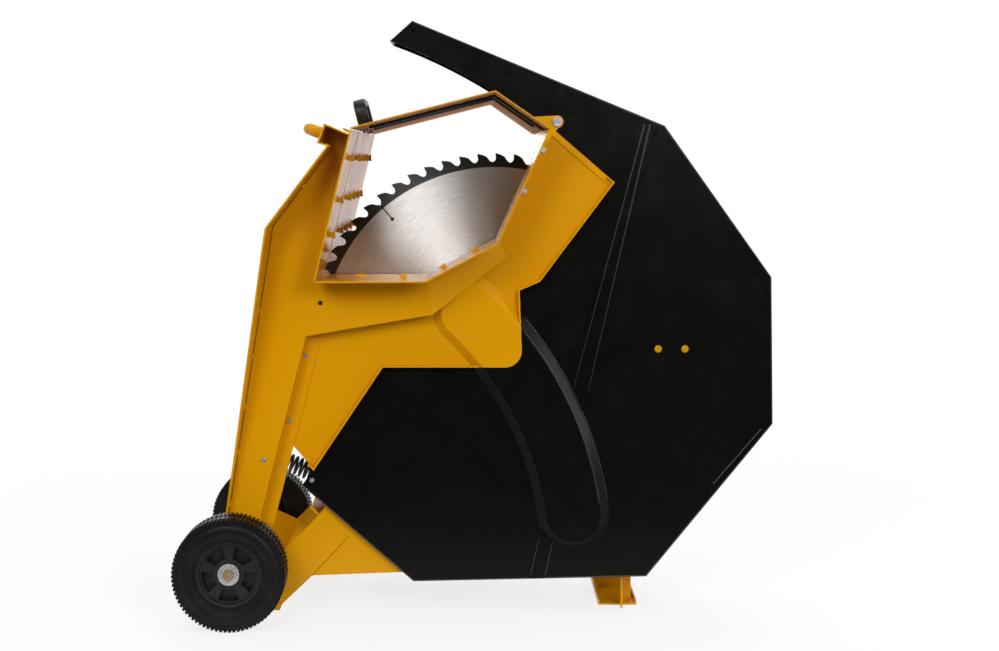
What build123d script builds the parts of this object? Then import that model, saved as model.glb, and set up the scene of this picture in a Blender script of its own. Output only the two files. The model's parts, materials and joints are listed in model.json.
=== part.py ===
"""Tilting firewood saw: a wood cradle that rocks on the wheel axle past a fixed circular blade.

Axes while drawing: X to the right from the wheel axle, Y away from the near side, Z up from the ground.
The finished pieces are moved so that the origin is under the middle of the saw, on the ground.
"""
import os
from math import cos, sin, radians, atan2, hypot, pi, sqrt

from build123d import *

# Blade and arbor
BLADE_DIA = 700.0
BLADE_THICK = 4.0
BLADE_TEETH = 64
TOOTH_DEPTH = 17.0
TOOTH_PROFILE = ((0.0, 1.0), (0.30, 0.82), (0.50, 0.62), (0.60, 0.35), (0.70, 0.12), (0.82, 0.0), (0.94, 0.09),
                 (1.02, 0.35))
RELIEF_SLOTS = 4
RELIEF_TOOTH = 8
RELIEF_LENGTH = 36.0
RELIEF_WIDTH = 2.5
RELIEF_HOLE_DIA = 7.0
BLADE_Y = 189.0
ARBOR_REACH = 612.0
ARBOR_ANGLE = 39.64
SHAFT_DIA = 30.0
FLANGE_DIA = 120.0
FLANGE_THICK = 10.0
FLANGE_STEP = 8.0
NUT_ACROSS = 46.0
NUT_LENGTH = 24.0
SHAFT_STICKOUT = 30.0

# Wheels and axle
WHEEL_DIA = 200.0
WHEEL_WIDTH = 50.0
RIM_DIA = 118.0
HUB_DIA = 46.0
RIM_BEAD = 7.0
RIM_INSET = 4.0
WEB_INSET = 9.0
WEB_THICK = 24.0
POCKET_COUNT = 5
POCKET_ANGLE = 46.0
POCKET_DEPTH = 16.0
POCKET_EDGE = 4.0
TREAD_LUGS = 80
TREAD_DEPTH = 3.0
LUG_ROW = 21.0
LUG_SHARE = 0.6
AXLE_DIA = 20.0
WASHER_DIA = 38.0
WASHER_THICK = 3.0
CLIP_THICK = 2.0
CLIP_RING = 4.0
CLIP_GAP = 6.0
AXLE_PROUD = 3.0
FAR_WHEEL_Y = 456.0
RUN_GAP = 0.05
FACE_GAP = 0.3

# Wood trough
TROUGH_DEPTH = 700.0
SHEET = 3.0
FLOOR_Z = 615.0
LEFT_INSET = 30.8
FLOOR_SHARE = 0.2757
LEFT_RUN = 64.0
LEFT_BELOW = 1.4
RAMP_SHARE = 0.18
RAMP_RISE = 67.0
BACK_LEAN = 65.53
BACK_MARGIN = 40.4
KERF_WIDTH = 16.0
KERF_REACH = 12.0
TIE_DROP = 4.0
TIE_WIDTH = 16.0
TIE_LAP = 30.0
SPIKE_PITCH = 110.0
SPIKES_FROM_BLADE = 95.0
SPIKES_BEHIND = 4
BARB_ROOT_SHARE = 0.55
BARB_TIP_SHARE = 0.6
PLATE_BARB = (15.0, 11.0)
FLOOR_BARB = (15.0, 8.0)
BARB_ROWS = (56.0, 134.0, 199.0)
FLOOR_ROWS = (80.0, 156.0)
RAMP_ROWS = (41.0, 107.0)

# Lid over the trough
LID_SHEET = 2.5
LID_OVERHANG = 2.0
LID_PEAK_FROM_BACK = (-94.3, 64.6)
LID_BACK_DROP = 64.0
LID_LIFT = 2.0
LID_END_GAP = 2.0
HINGE_BEHIND = 14.0
HINGE_ABOVE = 12.0
HINGE_PIN_DIA = 10.0
HINGE_EAR = 11.0
HINGE_TAB = 32.0
HINGE_HEAD_DIA = 17.0
HINGE_HEAD_THICK = 5.0
NOSE_SWEEP = 340.0
GUARD_SIDE_GAP = 9.0
LID_HANDLE_SPAN = 120.0
LID_HANDLE_HEIGHT = 59.0
LID_HANDLE_DIA = 20.0
HANDLE_FOOT_THICK = 4.0
LID_HANDLE_Y = 300.0

# Blade guard on the cradle
GUARD_SHEET = 2.0
GUARD_NEAR_Y = 126.0
GUARD_FAR_Y = 250.0
NOSE_LOW_FROM_BACK = (-285.3, 162.6)
NOSE_TOP_FROM_BACK = (-244.3, 199.6)
NOSE_MID_FROM_BACK = (-142.3, 97.6)
GUARD_TOP_BACK = (780.0, 890.0)
GUARD_BACK_HIGH = (975.0, 613.0)
GUARD_BACK_LOW = (977.0, 345.0)
GUARD_FOOT_BACK = (746.0, 66.0)
GUARD_FOOT_FRONT = (320.0, 57.0)
GUARD_TIP_LOW = (116.0, 232.0)
GUARD_TIP_HIGH = (132.0, 254.0)
SEAM_TOP = (740.0, 897.0)
SEAM_FOOT = (546.0, 63.0)
SEAM_LAP = 14.0
TRACK_WIDTH = 131.0
TRACK_BEVEL = 16.0
TRACK_RISE = 15.0
TRACK_LOW_ANGLE = 7.5
TRACK_TOP_ANGLE = 47.0
TRACK_ROOM = 4.0
TRACK_RADIUS = 617.5
PEEP_DIA = 14.0
PEEP_Z = 482.0
PEEP_X = (768.0, 817.0)

# Cradle arms, end plates and side cover
ARM_SHEET = 3.0
ARM_NEAR_Y = 90.0
ARM_FAR_Y = 437.0
CAP_DROP = 8.0
CAP_HIGH_FROM_LEFT = (-48.0, 11.0)
CAP_LOW_FROM_LEFT = (-61.0, -24.0)
CAP_RETURN_FROM_LEFT = (-44.0, -29.0)
ELBOW_FROM_LEFT = (-152.0, -173.0)
ARM_NECK_LEFT = (-17.0, 179.0)
ARM_NECK_RIGHT = (41.0, 168.0)
HIP_FROM_FLOOR = (-25.0, -106.0)
ARM_BOSS_R = 32.0
ARM_LIP = 30.0
ARM_LIP_FOOT = 18.0
ARM_LIP_MID_Z = 300.0
ARM_STRIP_WIDTH = 25.0
BUSH_DIA = 30.0
BUSH_NEAR = (75.0, 105.0)
BUSH_FAR = (430.5, 455.5)
END_SHEET = 2.5
SKIRT_FROM_FLOOR = (10.0, -67.5)
SKIRT_FROM_RAMP = (22.0, -30.0)
SKIRT_END_THICK = 1.5
HOLE_FROM_FLOOR = (1.0, -46.0)
END_HOLE_DIA = 9.0
FAR_FLANGE = 40.0
COVER_SHEET = 3.0
COVER_FROM_HIP = (-4.0, -5.0)
COVER_TIP = [(84.0, 324.0), (139.0, 262.0)]
COVER_RIGHT = [(265.0, 450.0), (519.0, 450.0), (514.0, 590.0), (551.0, 606.0)]
SHOULDER_LOW_FROM_BACK = (124.7, -95.4)
SHOULDER_FROM_BACK = (17.7, -2.4)
COVER_ROUND = 31.0
COVER_LIP = 14.0
COVER_LAP = 15.0
SHOULDER_STRIP = 11.0
WINDOW_TOP = 585.0
HANDLE_DIA = 22.0
HANDLE_WALL = 2.0
HANDLE_REACH = 25.5
HANDLE_TILT = 20.0
HANDLE_LEG = 30.0
HANDLE_NEAR_Y = 45.0
HANDLE_FAR_Y = 455.0
HANDLE_BEND = 24.0

# Fixed frame
FRAME_SHEET = 3.0
FRAME_NEAR_Y = 140.0
FRAME_MID_Y = 288.0
FRAME_FAR_Y = 427.0
FRAME_BOSS_R = 36.0
FOOT_TIP = 74.0
FOOT_HEEL = -20.0
SILL_Z = 70.0
SILL_FRONT = [(78.0, 11.0), (134.0, 64.0), (291.0, 70.0)]
FRAME_TOP = [(300.0, 232.0), (161.0, 194.0), (143.0, 172.0), (75.0, 103.0), (25.0, 126.0), (-30.0, 110.0)]
REAR_X = 733.0
REAR_LEG_WIDTH = 55.0
REAR_LEG_INSET = 8.0
REAR_LEG_FLARE = 30.0
REAR_Z = 150.0
CHANNEL_LINE = [(139.0, 207.0), (130.0, 187.0), (144.0, 174.0), (129.0, 157.5), (86.0, 114.0)]
MID_PLATE_LEFT = 165.0
MID_PLATE_Z = 205.0
FOOT_LIP = 30.0
REAR_FOOT_WIDTH = 71.0
ANGLE_WIDTH = 24.0
ANGLE_OVERLAP = 30.0
REAR_FOOT_NEAR = 176.0
REAR_FOOT_FAR = 500.0
REAR_FOOT_LIP = 10.0
SPRING_TAB = (150.0, 226.0)
SPRING_TAB_R = 14.0
SPRING_TAB_ROOT = [(172.0, 192.0), (205.0, 206.0)]

# Lower blade box
BOX_NEAR_Y = 150.0
BOX_FAR_Y = 225.0
BOX_SHEET = 2.0
BOX_CLEAR = 22.0
BOX_INNER = 80.0
BOX_START = -166.0
BOX_END = 8.0
CHUTE_START = -118.0
CHUTE_END = -66.0
POST_DIA = 24.0
POST_INSET = 20.0
POST_ANGLES = (-124.0, -70.0)

# Motor, switch and inlet
HOUSING_DIA = 104.0
HOUSING_NEAR = 206.0
MOTOR_DIA = 180.0
MOTOR_NEAR = 300.0
MOTOR_FAR = 470.0
MOTOR_FINS = 30
FIN_DEPTH = 9.0
FIN_SLOT = 9.0
COWL_LENGTH = 62.0
COWL_SLOTS = 12
SHELF_LEFT = 376.0
SHELF_RIGHT = 566.0
MOTOR_FOOT_HEIGHT = 8.0
MOTOR_FOOT_WIDTH = 44.0
MOTOR_FOOT_SPREAD = 156.0
MOTOR_FOOT_TOP = 34.0
MOTOR_FOOT_INSET = 30.0
MOTOR_FOOT_CLEAR = 12.0
HOUSING_PLATE = 12.0
FINLESS_ANGLE = 32.0
COWL_WALL = 3.0
COWL_SLOT = 8.0
SHELF_FLARE = 40.0
SWITCH_WIDTH = 78.0
SWITCH_DEPTH = 92.0
SWITCH_HEIGHT = 104.0
SWITCH_Y = 375.0
BUTTON_DIA = 24.0
BUTTON_LENGTH = 18.0
BUTTON_PROUD = 7.0
BUTTON_ROOM = 7.0
BUTTON_PITCH = 44.0
INLET_DIA = 56.0
INLET_WALL = 4.0
INLET_LENGTH = 42.0
INLET_PIN_DIA = 6.0
INLET_PINS = 5
INLET_BASE = 6.0
INLET_PIN_INSET = 8.0
SWITCH_ROUND = 8.0
SWITCH_SINK = 8.0
BUTTON_BEVEL = 1.5

# Return spring between the near arm and the frame
SPRING_DIA = 35.0
SPRING_WIRE = 5.0
SPRING_TURNS = 8
SPRING_Y = 164.0
SPRING_START = (82.0, 270.0)

# Worked-out places
AXLE_Z = WHEEL_DIA / 2
AXLE = (0.0, AXLE_Z)
AXLE_R = AXLE_DIA / 2
FAR_FACE_Y = FAR_WHEEL_Y + WHEEL_WIDTH
ARBOR_X = ARBOR_REACH * cos(radians(ARBOR_ANGLE))
ARBOR_Z = AXLE_Z + ARBOR_REACH * sin(radians(ARBOR_ANGLE))
BLADE_NEAR = BLADE_Y - BLADE_THICK / 2
BLADE_FAR = BLADE_Y + BLADE_THICK / 2
X_MID = (GUARD_BACK_LOW[0] - WHEEL_DIA / 2) / 2
Y_MID = TROUGH_DEPTH / 2
FLOOR_LEFT = ARBOR_X - BLADE_DIA / 2 + LEFT_INSET
FLOOR_LENGTH = BLADE_DIA * FLOOR_SHARE
RAMP_RUN = BLADE_DIA * RAMP_SHARE
COVER_FACE = GUARD_NEAR_Y - COVER_SHEET
REAR_LEG_RIGHT = REAR_X - REAR_LEG_INSET
REAR_LEG_LEFT = REAR_LEG_RIGHT - REAR_LEG_WIDTH
BOX_RADIUS = BLADE_DIA / 2 + BOX_CLEAR


def xz(y):
    """Drawing plane at depth y, seen from the near side."""
    return Plane(origin=(0, y, 0), x_dir=(1, 0, 0), z_dir=(0, -1, 0))


def slab(sketch, y_near, thick):
    """Plate of a sketch drawn in X and Z, from y_near towards the far side."""
    return extrude(xz(y_near + thick) * sketch, amount=thick)


def polygon(*points):
    return make_face(Polyline(*points, close=True))


def disc(point, radius):
    return Pos(point[0], point[1]) * Circle(radius)


def rod(point, radius, y_near, y_far):
    return slab(disc(point, radius), y_near, y_far - y_near)


def tube(point, outer, inner, y_near, y_far):
    return slab(disc(point, outer) - disc(point, inner), y_near, y_far - y_near)


def block(x0, x1, y0, y1, z0, z1):
    return Pos((x0 + x1) / 2, (y0 + y1) / 2, (z0 + z1) / 2) * Box(x1 - x0, y1 - y0, z1 - z0)


def offset_points(points, distance):
    """The same bent line moved to its right by a distance, with mitred corners."""
    moved = []
    for i, point in enumerate(points):
        before = points[max(i - 1, 0)]
        after = points[min(i + 1, len(points) - 1)]
        sides = []
        for a, b in ((before, point), (point, after)):
            length = hypot(b[0] - a[0], b[1] - a[1])
            if length > 0:
                sides.append(((b[1] - a[1]) / length, (a[0] - b[0]) / length))
        nx = sum(s[0] for s in sides) / len(sides)
        nz = sum(s[1] for s in sides) / len(sides)
        stretch = distance / (nx * nx + nz * nz)
        moved.append((point[0] + nx * stretch, point[1] + nz * stretch))
    return moved


def bent_sheet(points, thick, y_near, y_far):
    """Folded sheet along a bent line, with its thickness on the line's right."""
    outline = list(points) + offset_points(points, thick)[::-1]
    return slab(polygon(*outline), y_near, y_far - y_near)


def step(point, way, distance=1.0):
    """Point moved along a direction."""
    return (point[0] + way[0] * distance, point[1] + way[1] * distance)


# Trough profile, inner face, from the top of the left plate round to the top of the back plate
TROUGH_LOW_LEFT = (FLOOR_LEFT, FLOOR_Z)
TROUGH_LOW_RIGHT = (FLOOR_LEFT + FLOOR_LENGTH, FLOOR_Z)
TROUGH_RAMP_TOP = (TROUGH_LOW_RIGHT[0] + RAMP_RUN, FLOOR_Z + RAMP_RISE)
BACK_WAY = (cos(radians(BACK_LEAN)), sin(radians(BACK_LEAN)))


def back_length():
    """Length that takes the back plate's top edge clear of the blade's cut."""
    x, z = TROUGH_RAMP_TOP[0] - ARBOR_X, TROUGH_RAMP_TOP[1] - ARBOR_Z
    reach = BLADE_DIA / 2 + KERF_REACH + BACK_MARGIN
    along = x * BACK_WAY[0] + z * BACK_WAY[1]
    return sqrt(along ** 2 + reach ** 2 - x * x - z * z) - along


TROUGH_TOP_RIGHT = step(TROUGH_RAMP_TOP, BACK_WAY, back_length())
LEFT_RISE = TROUGH_TOP_RIGHT[1] - FLOOR_Z - LEFT_BELOW
TROUGH_TOP_LEFT = (FLOOR_LEFT + LEFT_RUN, FLOOR_Z + LEFT_RISE)
TROUGH = [TROUGH_TOP_LEFT, TROUGH_LOW_LEFT, TROUGH_LOW_RIGHT, TROUGH_RAMP_TOP, TROUGH_TOP_RIGHT]
TROUGH_OUT = offset_points(TROUGH, SHEET)
KERF_NEAR = BLADE_Y - KERF_WIDTH / 2
KERF_FAR = BLADE_Y + KERF_WIDTH / 2
LEFT_LENGTH = hypot(LEFT_RUN, LEFT_RISE)
LEFT_UP = (LEFT_RUN / LEFT_LENGTH, LEFT_RISE / LEFT_LENGTH)
LEFT_IN = (LEFT_UP[1], -LEFT_UP[0])
RAMP_LENGTH = hypot(RAMP_RUN, RAMP_RISE)
RAMP_WAY = (RAMP_RUN / RAMP_LENGTH, RAMP_RISE / RAMP_LENGTH)

# Places that follow the trough's corners
HINGE_X = TROUGH_TOP_RIGHT[0] + HINGE_BEHIND
HINGE_Z = TROUGH_TOP_RIGHT[1] + HINGE_ABOVE
LID_PEAK_X, LID_PEAK_Z = step(TROUGH_TOP_RIGHT, LID_PEAK_FROM_BACK)
NOSE_LOW = step(TROUGH_TOP_RIGHT, NOSE_LOW_FROM_BACK)
NOSE_TOP = step(TROUGH_TOP_RIGHT, NOSE_TOP_FROM_BACK)
NOSE_ARC_MID = step(TROUGH_TOP_RIGHT, NOSE_MID_FROM_BACK)
CAP_HIGH = step(TROUGH_TOP_LEFT, CAP_HIGH_FROM_LEFT)
CAP_LOW = step(TROUGH_TOP_LEFT, CAP_LOW_FROM_LEFT)
CAP_RETURN = step(TROUGH_TOP_LEFT, CAP_RETURN_FROM_LEFT)
ARM_ELBOW = step(TROUGH_TOP_LEFT, ELBOW_FROM_LEFT)
ARM_HIP = step(TROUGH_LOW_LEFT, HIP_FROM_FLOOR)
END_HOLE = step(TROUGH_LOW_LEFT, HOLE_FROM_FLOOR)
SKIRT_CORNER = step(TROUGH_LOW_RIGHT, SKIRT_FROM_FLOOR)
SKIRT_END = step(TROUGH_RAMP_TOP, SKIRT_FROM_RAMP)
COVER_LEFT = step(ARM_HIP, COVER_FROM_HIP)
COVER_FOOT = [COVER_TIP[1], *COVER_RIGHT, step(TROUGH_TOP_RIGHT, SHOULDER_LOW_FROM_BACK)]
COVER_SHOULDER = step(TROUGH_TOP_RIGHT, SHOULDER_FROM_BACK)


def kerf():
    """Room for the blade in the trough plates: a slice round the arbor."""
    return rod((ARBOR_X, ARBOR_Z), BLADE_DIA / 2 + KERF_REACH, KERF_NEAR, KERF_FAR)


def barb(foot, way, out, size, y):
    """Hooked spike of a length and height on a trough plate, its tip ahead of its root."""
    length, height = size
    tip = step(step(foot, out, height * BARB_TIP_SHARE), way, length)
    outline = polygon(foot, step(foot, out, height), tip, step(foot, way, length * BARB_ROOT_SHARE))
    return slab(outline, y - SHEET / 2, SHEET)


def wood_spikes():
    """Rows of hooked barbs on the left plate, floor and ramp, on both sides of the blade."""
    depths = [BLADE_Y - SPIKES_FROM_BLADE]
    for i in range(SPIKES_BEHIND):
        depths.append(BLADE_Y + SPIKES_FROM_BLADE + i * SPIKE_PITCH)
    spikes = []
    for y in depths:
        for drop in BARB_ROWS:
            spikes.append(barb(step(TROUGH_TOP_LEFT, LEFT_UP, -drop), LEFT_UP, LEFT_IN, PLATE_BARB, y))
        for run in FLOOR_ROWS:
            spikes.append(barb(step(TROUGH_LOW_LEFT, (1, 0), run), (-1, 0), (0, 1), FLOOR_BARB, y))
        for run in RAMP_ROWS:
            down = (-RAMP_WAY[0], -RAMP_WAY[1])
            spikes.append(barb(step(TROUGH_LOW_RIGHT, RAMP_WAY, run), down, (down[1], -down[0]), FLOOR_BARB, y))
    return Part() + spikes


def left_sheet():
    return bent_sheet([TROUGH_TOP_LEFT, TROUGH_LOW_LEFT], SHEET, 0, TROUGH_DEPTH)


def trough_left_near():
    """Left plate on the near side of the blade slot."""
    return bent_sheet([TROUGH_TOP_LEFT, TROUGH_LOW_LEFT], SHEET, 0, KERF_NEAR)


def trough_left_far():
    """Left plate on the far side of the blade slot."""
    return bent_sheet([TROUGH_TOP_LEFT, TROUGH_LOW_LEFT], SHEET, KERF_FAR, TROUGH_DEPTH)


def trough_left_tie():
    """Strip welded behind both left plates, that ties them over the blade slot."""
    high = step(step(TROUGH_TOP_LEFT, LEFT_IN, -SHEET), LEFT_UP, -TIE_DROP)
    return bent_sheet([high, step(high, LEFT_UP, -TIE_WIDTH)], SHEET, KERF_NEAR - TIE_LAP, KERF_FAR + TIE_LAP)


def hinge_tab():
    """Ear for a hinge bolt on the top edge of the back plate."""
    here = (HINGE_X, HINGE_Z)
    low = step(TROUGH_OUT[4], BACK_WAY, -HINGE_TAB)
    neck = polygon(TROUGH_TOP_RIGHT, (HINGE_X - HINGE_EAR, HINGE_Z), (HINGE_X + HINGE_EAR, HINGE_Z), low)
    return neck + disc(here, HINGE_EAR) - disc(here, HINGE_PIN_DIA / 2 + RUN_GAP)


def trough_bed():
    """Floor, ramp and back plate folded from one sheet, with the near hinge ear."""
    bed = bent_sheet(TROUGH[1:], SHEET, 0, TROUGH_DEPTH)
    corner = TROUGH_OUT[1]
    seat = polygon(corner, (corner[0], FLOOR_Z), TROUGH_LOW_LEFT, (FLOOR_LEFT, corner[1]))
    bed = bed - slab(seat, 0, TROUGH_DEPTH) - kerf()
    return bed + slab(hinge_tab(), 0, END_SHEET)


def near_end_plate():
    """Web under the trough: flat beside the arm, then a facet that runs back to the side cover."""
    flat = polygon(ARM_HIP, TROUGH_OUT[1], TROUGH_OUT[2], SKIRT_CORNER) - disc(END_HOLE, END_HOLE_DIA / 2)
    top = Vector(TROUGH_OUT[2][0], ARM_NEAR_Y, TROUGH_OUT[2][1])
    low = Vector(SKIRT_CORNER[0], ARM_NEAR_Y, SKIRT_CORNER[1])
    end = Vector(SKIRT_END[0], COVER_FACE - SKIRT_END_THICK, SKIRT_END[1])
    normal = (low - top).cross(end - top).normalized()
    if normal.Y < 0:
        normal = -normal
    facing = Plane(origin=top, x_dir=low - top, z_dir=normal)
    sheet = extrude(facing * Rectangle(TROUGH_DEPTH, TROUGH_DEPTH), amount=ARM_SHEET)
    skirt = polygon(TROUGH_OUT[2], TROUGH_OUT[3], SKIRT_END, SKIRT_CORNER)
    facet = sheet & slab(skirt, ARM_NEAR_Y, COVER_FACE - ARM_NEAR_Y)
    return slab(flat, ARM_NEAR_Y, ARM_SHEET) + (facet - cover_hump())


def far_end_plate():
    """Flange round the trough's far end, with the far hinge ear."""
    flange = offset_points(TROUGH_OUT, FAR_FLANGE)
    outline = polygon(*TROUGH_OUT, *flange[::-1])
    here = (HINGE_X, HINGE_Z)
    neck = polygon((HINGE_X - HINGE_EAR, HINGE_Z), (HINGE_X + HINGE_EAR, HINGE_Z), flange[4], TROUGH_OUT[4])
    outline += neck + disc(here, HINGE_EAR)
    ceiling = HINGE_Z + HINGE_EAR
    outline -= polygon(*TROUGH_OUT, (TROUGH_OUT[4][0], ceiling), (TROUGH_OUT[0][0], ceiling))
    outline -= disc(here, HINGE_PIN_DIA / 2 + RUN_GAP)
    return slab(outline, TROUGH_DEPTH - END_SHEET, END_SHEET)


def hinge_bolt(near):
    """Hinge bolt with its head outside the end plate."""
    reach = END_SHEET + FACE_GAP + LID_SHEET + END_SHEET
    here = (HINGE_X, HINGE_Z)
    if near:
        return rod(here, HINGE_HEAD_DIA / 2, -HINGE_HEAD_THICK, 0) + rod(here, HINGE_PIN_DIA / 2, 0, reach)
    end = TROUGH_DEPTH
    return (rod(here, HINGE_HEAD_DIA / 2, end, end + HINGE_HEAD_THICK)
            + rod(here, HINGE_PIN_DIA / 2, end - reach, end))


LID_SLOPE = (LID_PEAK_Z - TROUGH_TOP_LEFT[1] - LID_LIFT) / (LID_PEAK_X - TROUGH_TOP_LEFT[0])
LID_LEFT = (TROUGH_TOP_LEFT[0] - LID_OVERHANG, LID_PEAK_Z - LID_SLOPE * (LID_PEAK_X - TROUGH_TOP_LEFT[0]
                                                                         + LID_OVERHANG))
LID_RIGHT = (TROUGH_TOP_RIGHT[0] - LID_END_GAP, LID_PEAK_Z - LID_BACK_DROP)
LID_LINE = [LID_LEFT, (LID_PEAK_X, LID_PEAK_Z), LID_RIGHT]
LID_DIRECTION = atan2(LID_PEAK_Z - LID_LEFT[1], LID_PEAK_X - LID_LEFT[0])
LID_SLOT_NEAR = GUARD_NEAR_Y - GUARD_SIDE_GAP
LID_SLOT_FAR = GUARD_FAR_Y + GUARD_SHEET + GUARD_SIDE_GAP


def lid_sheet():
    """Roof-shaped lid, slotted for the guard's nose, with a hinge ear at each end."""
    ear_near = END_SHEET + FACE_GAP
    ear_far = TROUGH_DEPTH - ear_near - LID_SHEET
    sheet = bent_sheet(LID_LINE, -LID_SHEET, ear_near, ear_far + LID_SHEET)
    here = (HINGE_X, HINGE_Z)
    slot = slab(disc(here, NOSE_SWEEP), LID_SLOT_NEAR, LID_SLOT_FAR - LID_SLOT_NEAR)
    sheet -= slot
    upper = offset_points(LID_LINE, -LID_SHEET)
    slope = hypot(upper[1][0] - upper[2][0], upper[1][1] - upper[2][1])
    way = ((upper[1][0] - upper[2][0]) / slope, (upper[1][1] - upper[2][1]) / slope)
    ear = polygon(upper[2], LID_RIGHT, (HINGE_X, HINGE_Z - HINGE_EAR), (HINGE_X, HINGE_Z + HINGE_EAR),
                  step(upper[2], way, HINGE_TAB))
    ear += disc(here, HINGE_EAR)
    ear -= disc(here, HINGE_PIN_DIA / 2 + RUN_GAP)
    for y in (ear_near, ear_far):
        sheet += slab(ear, y, LID_SHEET)
    return sheet


def lid_handle():
    """D-shaped grab handle that stands on the lid's front strip."""
    foot_x = LID_LEFT[0] + 0.5 * (HINGE_X - NOSE_SWEEP - LID_LEFT[0])
    foot_z = LID_LEFT[1] + LID_SLOPE * (foot_x - LID_LEFT[0])
    normal = (-sin(LID_DIRECTION), cos(LID_DIRECTION))
    seat = (foot_x + normal[0] * LID_SHEET, foot_z + normal[1] * LID_SHEET)
    rise = LID_HANDLE_HEIGHT - LID_HANDLE_DIA / 2
    top = (seat[0] + normal[0] * rise, seat[1] + normal[1] * rise)
    half = LID_HANDLE_SPAN / 2 - LID_HANDLE_DIA / 2
    y0 = LID_HANDLE_Y - half
    y1 = LID_HANDLE_Y + half
    path = FilletPolyline((seat[0], y0, seat[1]), (top[0], y0, top[1]), (top[0], y1, top[1]),
                          (seat[0], y1, seat[1]), radius=LID_HANDLE_DIA * 1.3)
    start = Plane(origin=path @ 0, z_dir=path % 0)
    grip = sweep(start * Circle(LID_HANDLE_DIA / 2), path=path)
    for y in (y0, y1):
        base = Plane(origin=(seat[0], y, seat[1]), z_dir=(normal[0], 0, normal[1]))
        grip += extrude(base * Circle(LID_HANDLE_DIA * 0.75), amount=HANDLE_FOOT_THICK)
    return grip


def track(y_base, room=0.0, top_angle=ARBOR_ANGLE):
    """Curved hump concentric with the axle: room for the arbor's end while the guard swings."""
    line = CenterArc(AXLE, TRACK_RADIUS, TRACK_LOW_ANGLE, top_angle - TRACK_LOW_ANGLE)
    wide = xz(y_base) * SlotArc(line, TRACK_WIDTH + 2 * room)
    narrow = xz(y_base - TRACK_RISE) * SlotArc(line, TRACK_WIDTH - 2 * TRACK_BEVEL + 2 * room)
    return loft([wide, narrow], ruled=True)


def guard_outline():
    """Guard sheet: follows the trough from the left, the nose arc, and straight edges all round."""
    edges = [
        Line(GUARD_TIP_HIGH, TROUGH_OUT[1]),
        Polyline(*TROUGH_OUT[1:]),
        ThreePointArc(TROUGH_OUT[4], NOSE_ARC_MID, NOSE_LOW),
        Polyline(NOSE_LOW, NOSE_TOP, GUARD_TOP_BACK, GUARD_BACK_HIGH, GUARD_BACK_LOW, GUARD_FOOT_BACK,
                 GUARD_FOOT_FRONT, GUARD_TIP_LOW, GUARD_TIP_HIGH),
    ]
    return make_face(edges)


def cover_outline():
    """Side cover's outline: the lower plate, a round corner and the shoulder beside the back plate."""
    corners = polygon(COVER_LEFT, COVER_TIP[0], *COVER_FOOT, COVER_SHOULDER, *TROUGH_OUT[:0:-1])
    rounded = corners.vertices().sort_by_distance((COVER_FOOT[2][0], COVER_FOOT[2][1], 0))[0]
    return fillet(rounded, COVER_ROUND)


def cover_hump():
    """Upper end of the arbor's hump, as far as it shows on the side cover."""
    hump = track(COVER_FACE, top_angle=TRACK_TOP_ANGLE)
    return hump & slab(cover_outline(), COVER_FACE - TRACK_RISE, TRACK_RISE)


def guard_near_skin():
    """Near guard sheet with its hump, before it is cut along the seam."""
    skin = slab(guard_outline(), GUARD_NEAR_Y, GUARD_SHEET)
    skin += track(GUARD_NEAR_Y)
    skin -= track(GUARD_NEAR_Y + GUARD_SHEET)
    below = polygon((0, 0), (GUARD_BACK_LOW[0], 0), (GUARD_BACK_LOW[0], WINDOW_TOP), (0, WINDOW_TOP))
    window = offset(cover_outline(), -COVER_LAP) & below
    skin -= slab(window, GUARD_NEAR_Y - TRACK_RISE, TRACK_RISE + GUARD_SHEET)
    for x in PEEP_X:
        skin -= rod((x, PEEP_Z), PEEP_DIA / 2, GUARD_NEAR_Y, GUARD_NEAR_Y + GUARD_SHEET)
    return skin


def seam_side(right):
    """Everything to one side of the guard's seam."""
    reach = GUARD_BACK_LOW[0] if right else -GUARD_BACK_LOW[0]
    way = (SEAM_TOP[0] - SEAM_FOOT[0], SEAM_TOP[1] - SEAM_FOOT[1])
    top = step(SEAM_TOP, way, 0.3)
    foot = step(SEAM_FOOT, way, -0.3)
    half = polygon(top, foot, (foot[0] + reach, foot[1]), (top[0] + reach, top[1]))
    return slab(half, GUARD_NEAR_Y - 2 * TRACK_RISE, 3 * TRACK_RISE)


def guard_front_sheet():
    return guard_near_skin() & seam_side(False)


def guard_rear_sheet():
    """Rear half of the near guard side, with a lap strip over both sides of the seam."""
    strip = polygon((SEAM_FOOT[0] - SEAM_LAP, SEAM_FOOT[1]), (SEAM_FOOT[0] + SEAM_LAP, SEAM_FOOT[1]),
                    (SEAM_TOP[0] + SEAM_LAP, SEAM_TOP[1]), (SEAM_TOP[0] - SEAM_LAP, SEAM_TOP[1]))
    lap = slab(strip & guard_outline(), GUARD_NEAR_Y - GUARD_SHEET, GUARD_SHEET)
    return (guard_near_skin() & seam_side(True)) + (lap - track(GUARD_NEAR_Y, TRACK_ROOM))


def guard_far_sheet():
    """Far guard sheet with a curved slot for the arbor housing."""
    line = CenterArc(AXLE, TRACK_RADIUS, TRACK_LOW_ANGLE, ARBOR_ANGLE - TRACK_LOW_ANGLE)
    return slab(guard_outline() - SlotArc(line, TRACK_WIDTH), GUARD_FAR_Y, GUARD_SHEET)


def guard_rim():
    """Edge strip that ties the two guard sides along the nose, the top and the back."""
    line = [NOSE_LOW, NOSE_TOP, GUARD_TOP_BACK, GUARD_BACK_HIGH, GUARD_BACK_LOW]
    return bent_sheet(line, GUARD_SHEET, GUARD_NEAR_Y + GUARD_SHEET, GUARD_FAR_Y)


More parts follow.
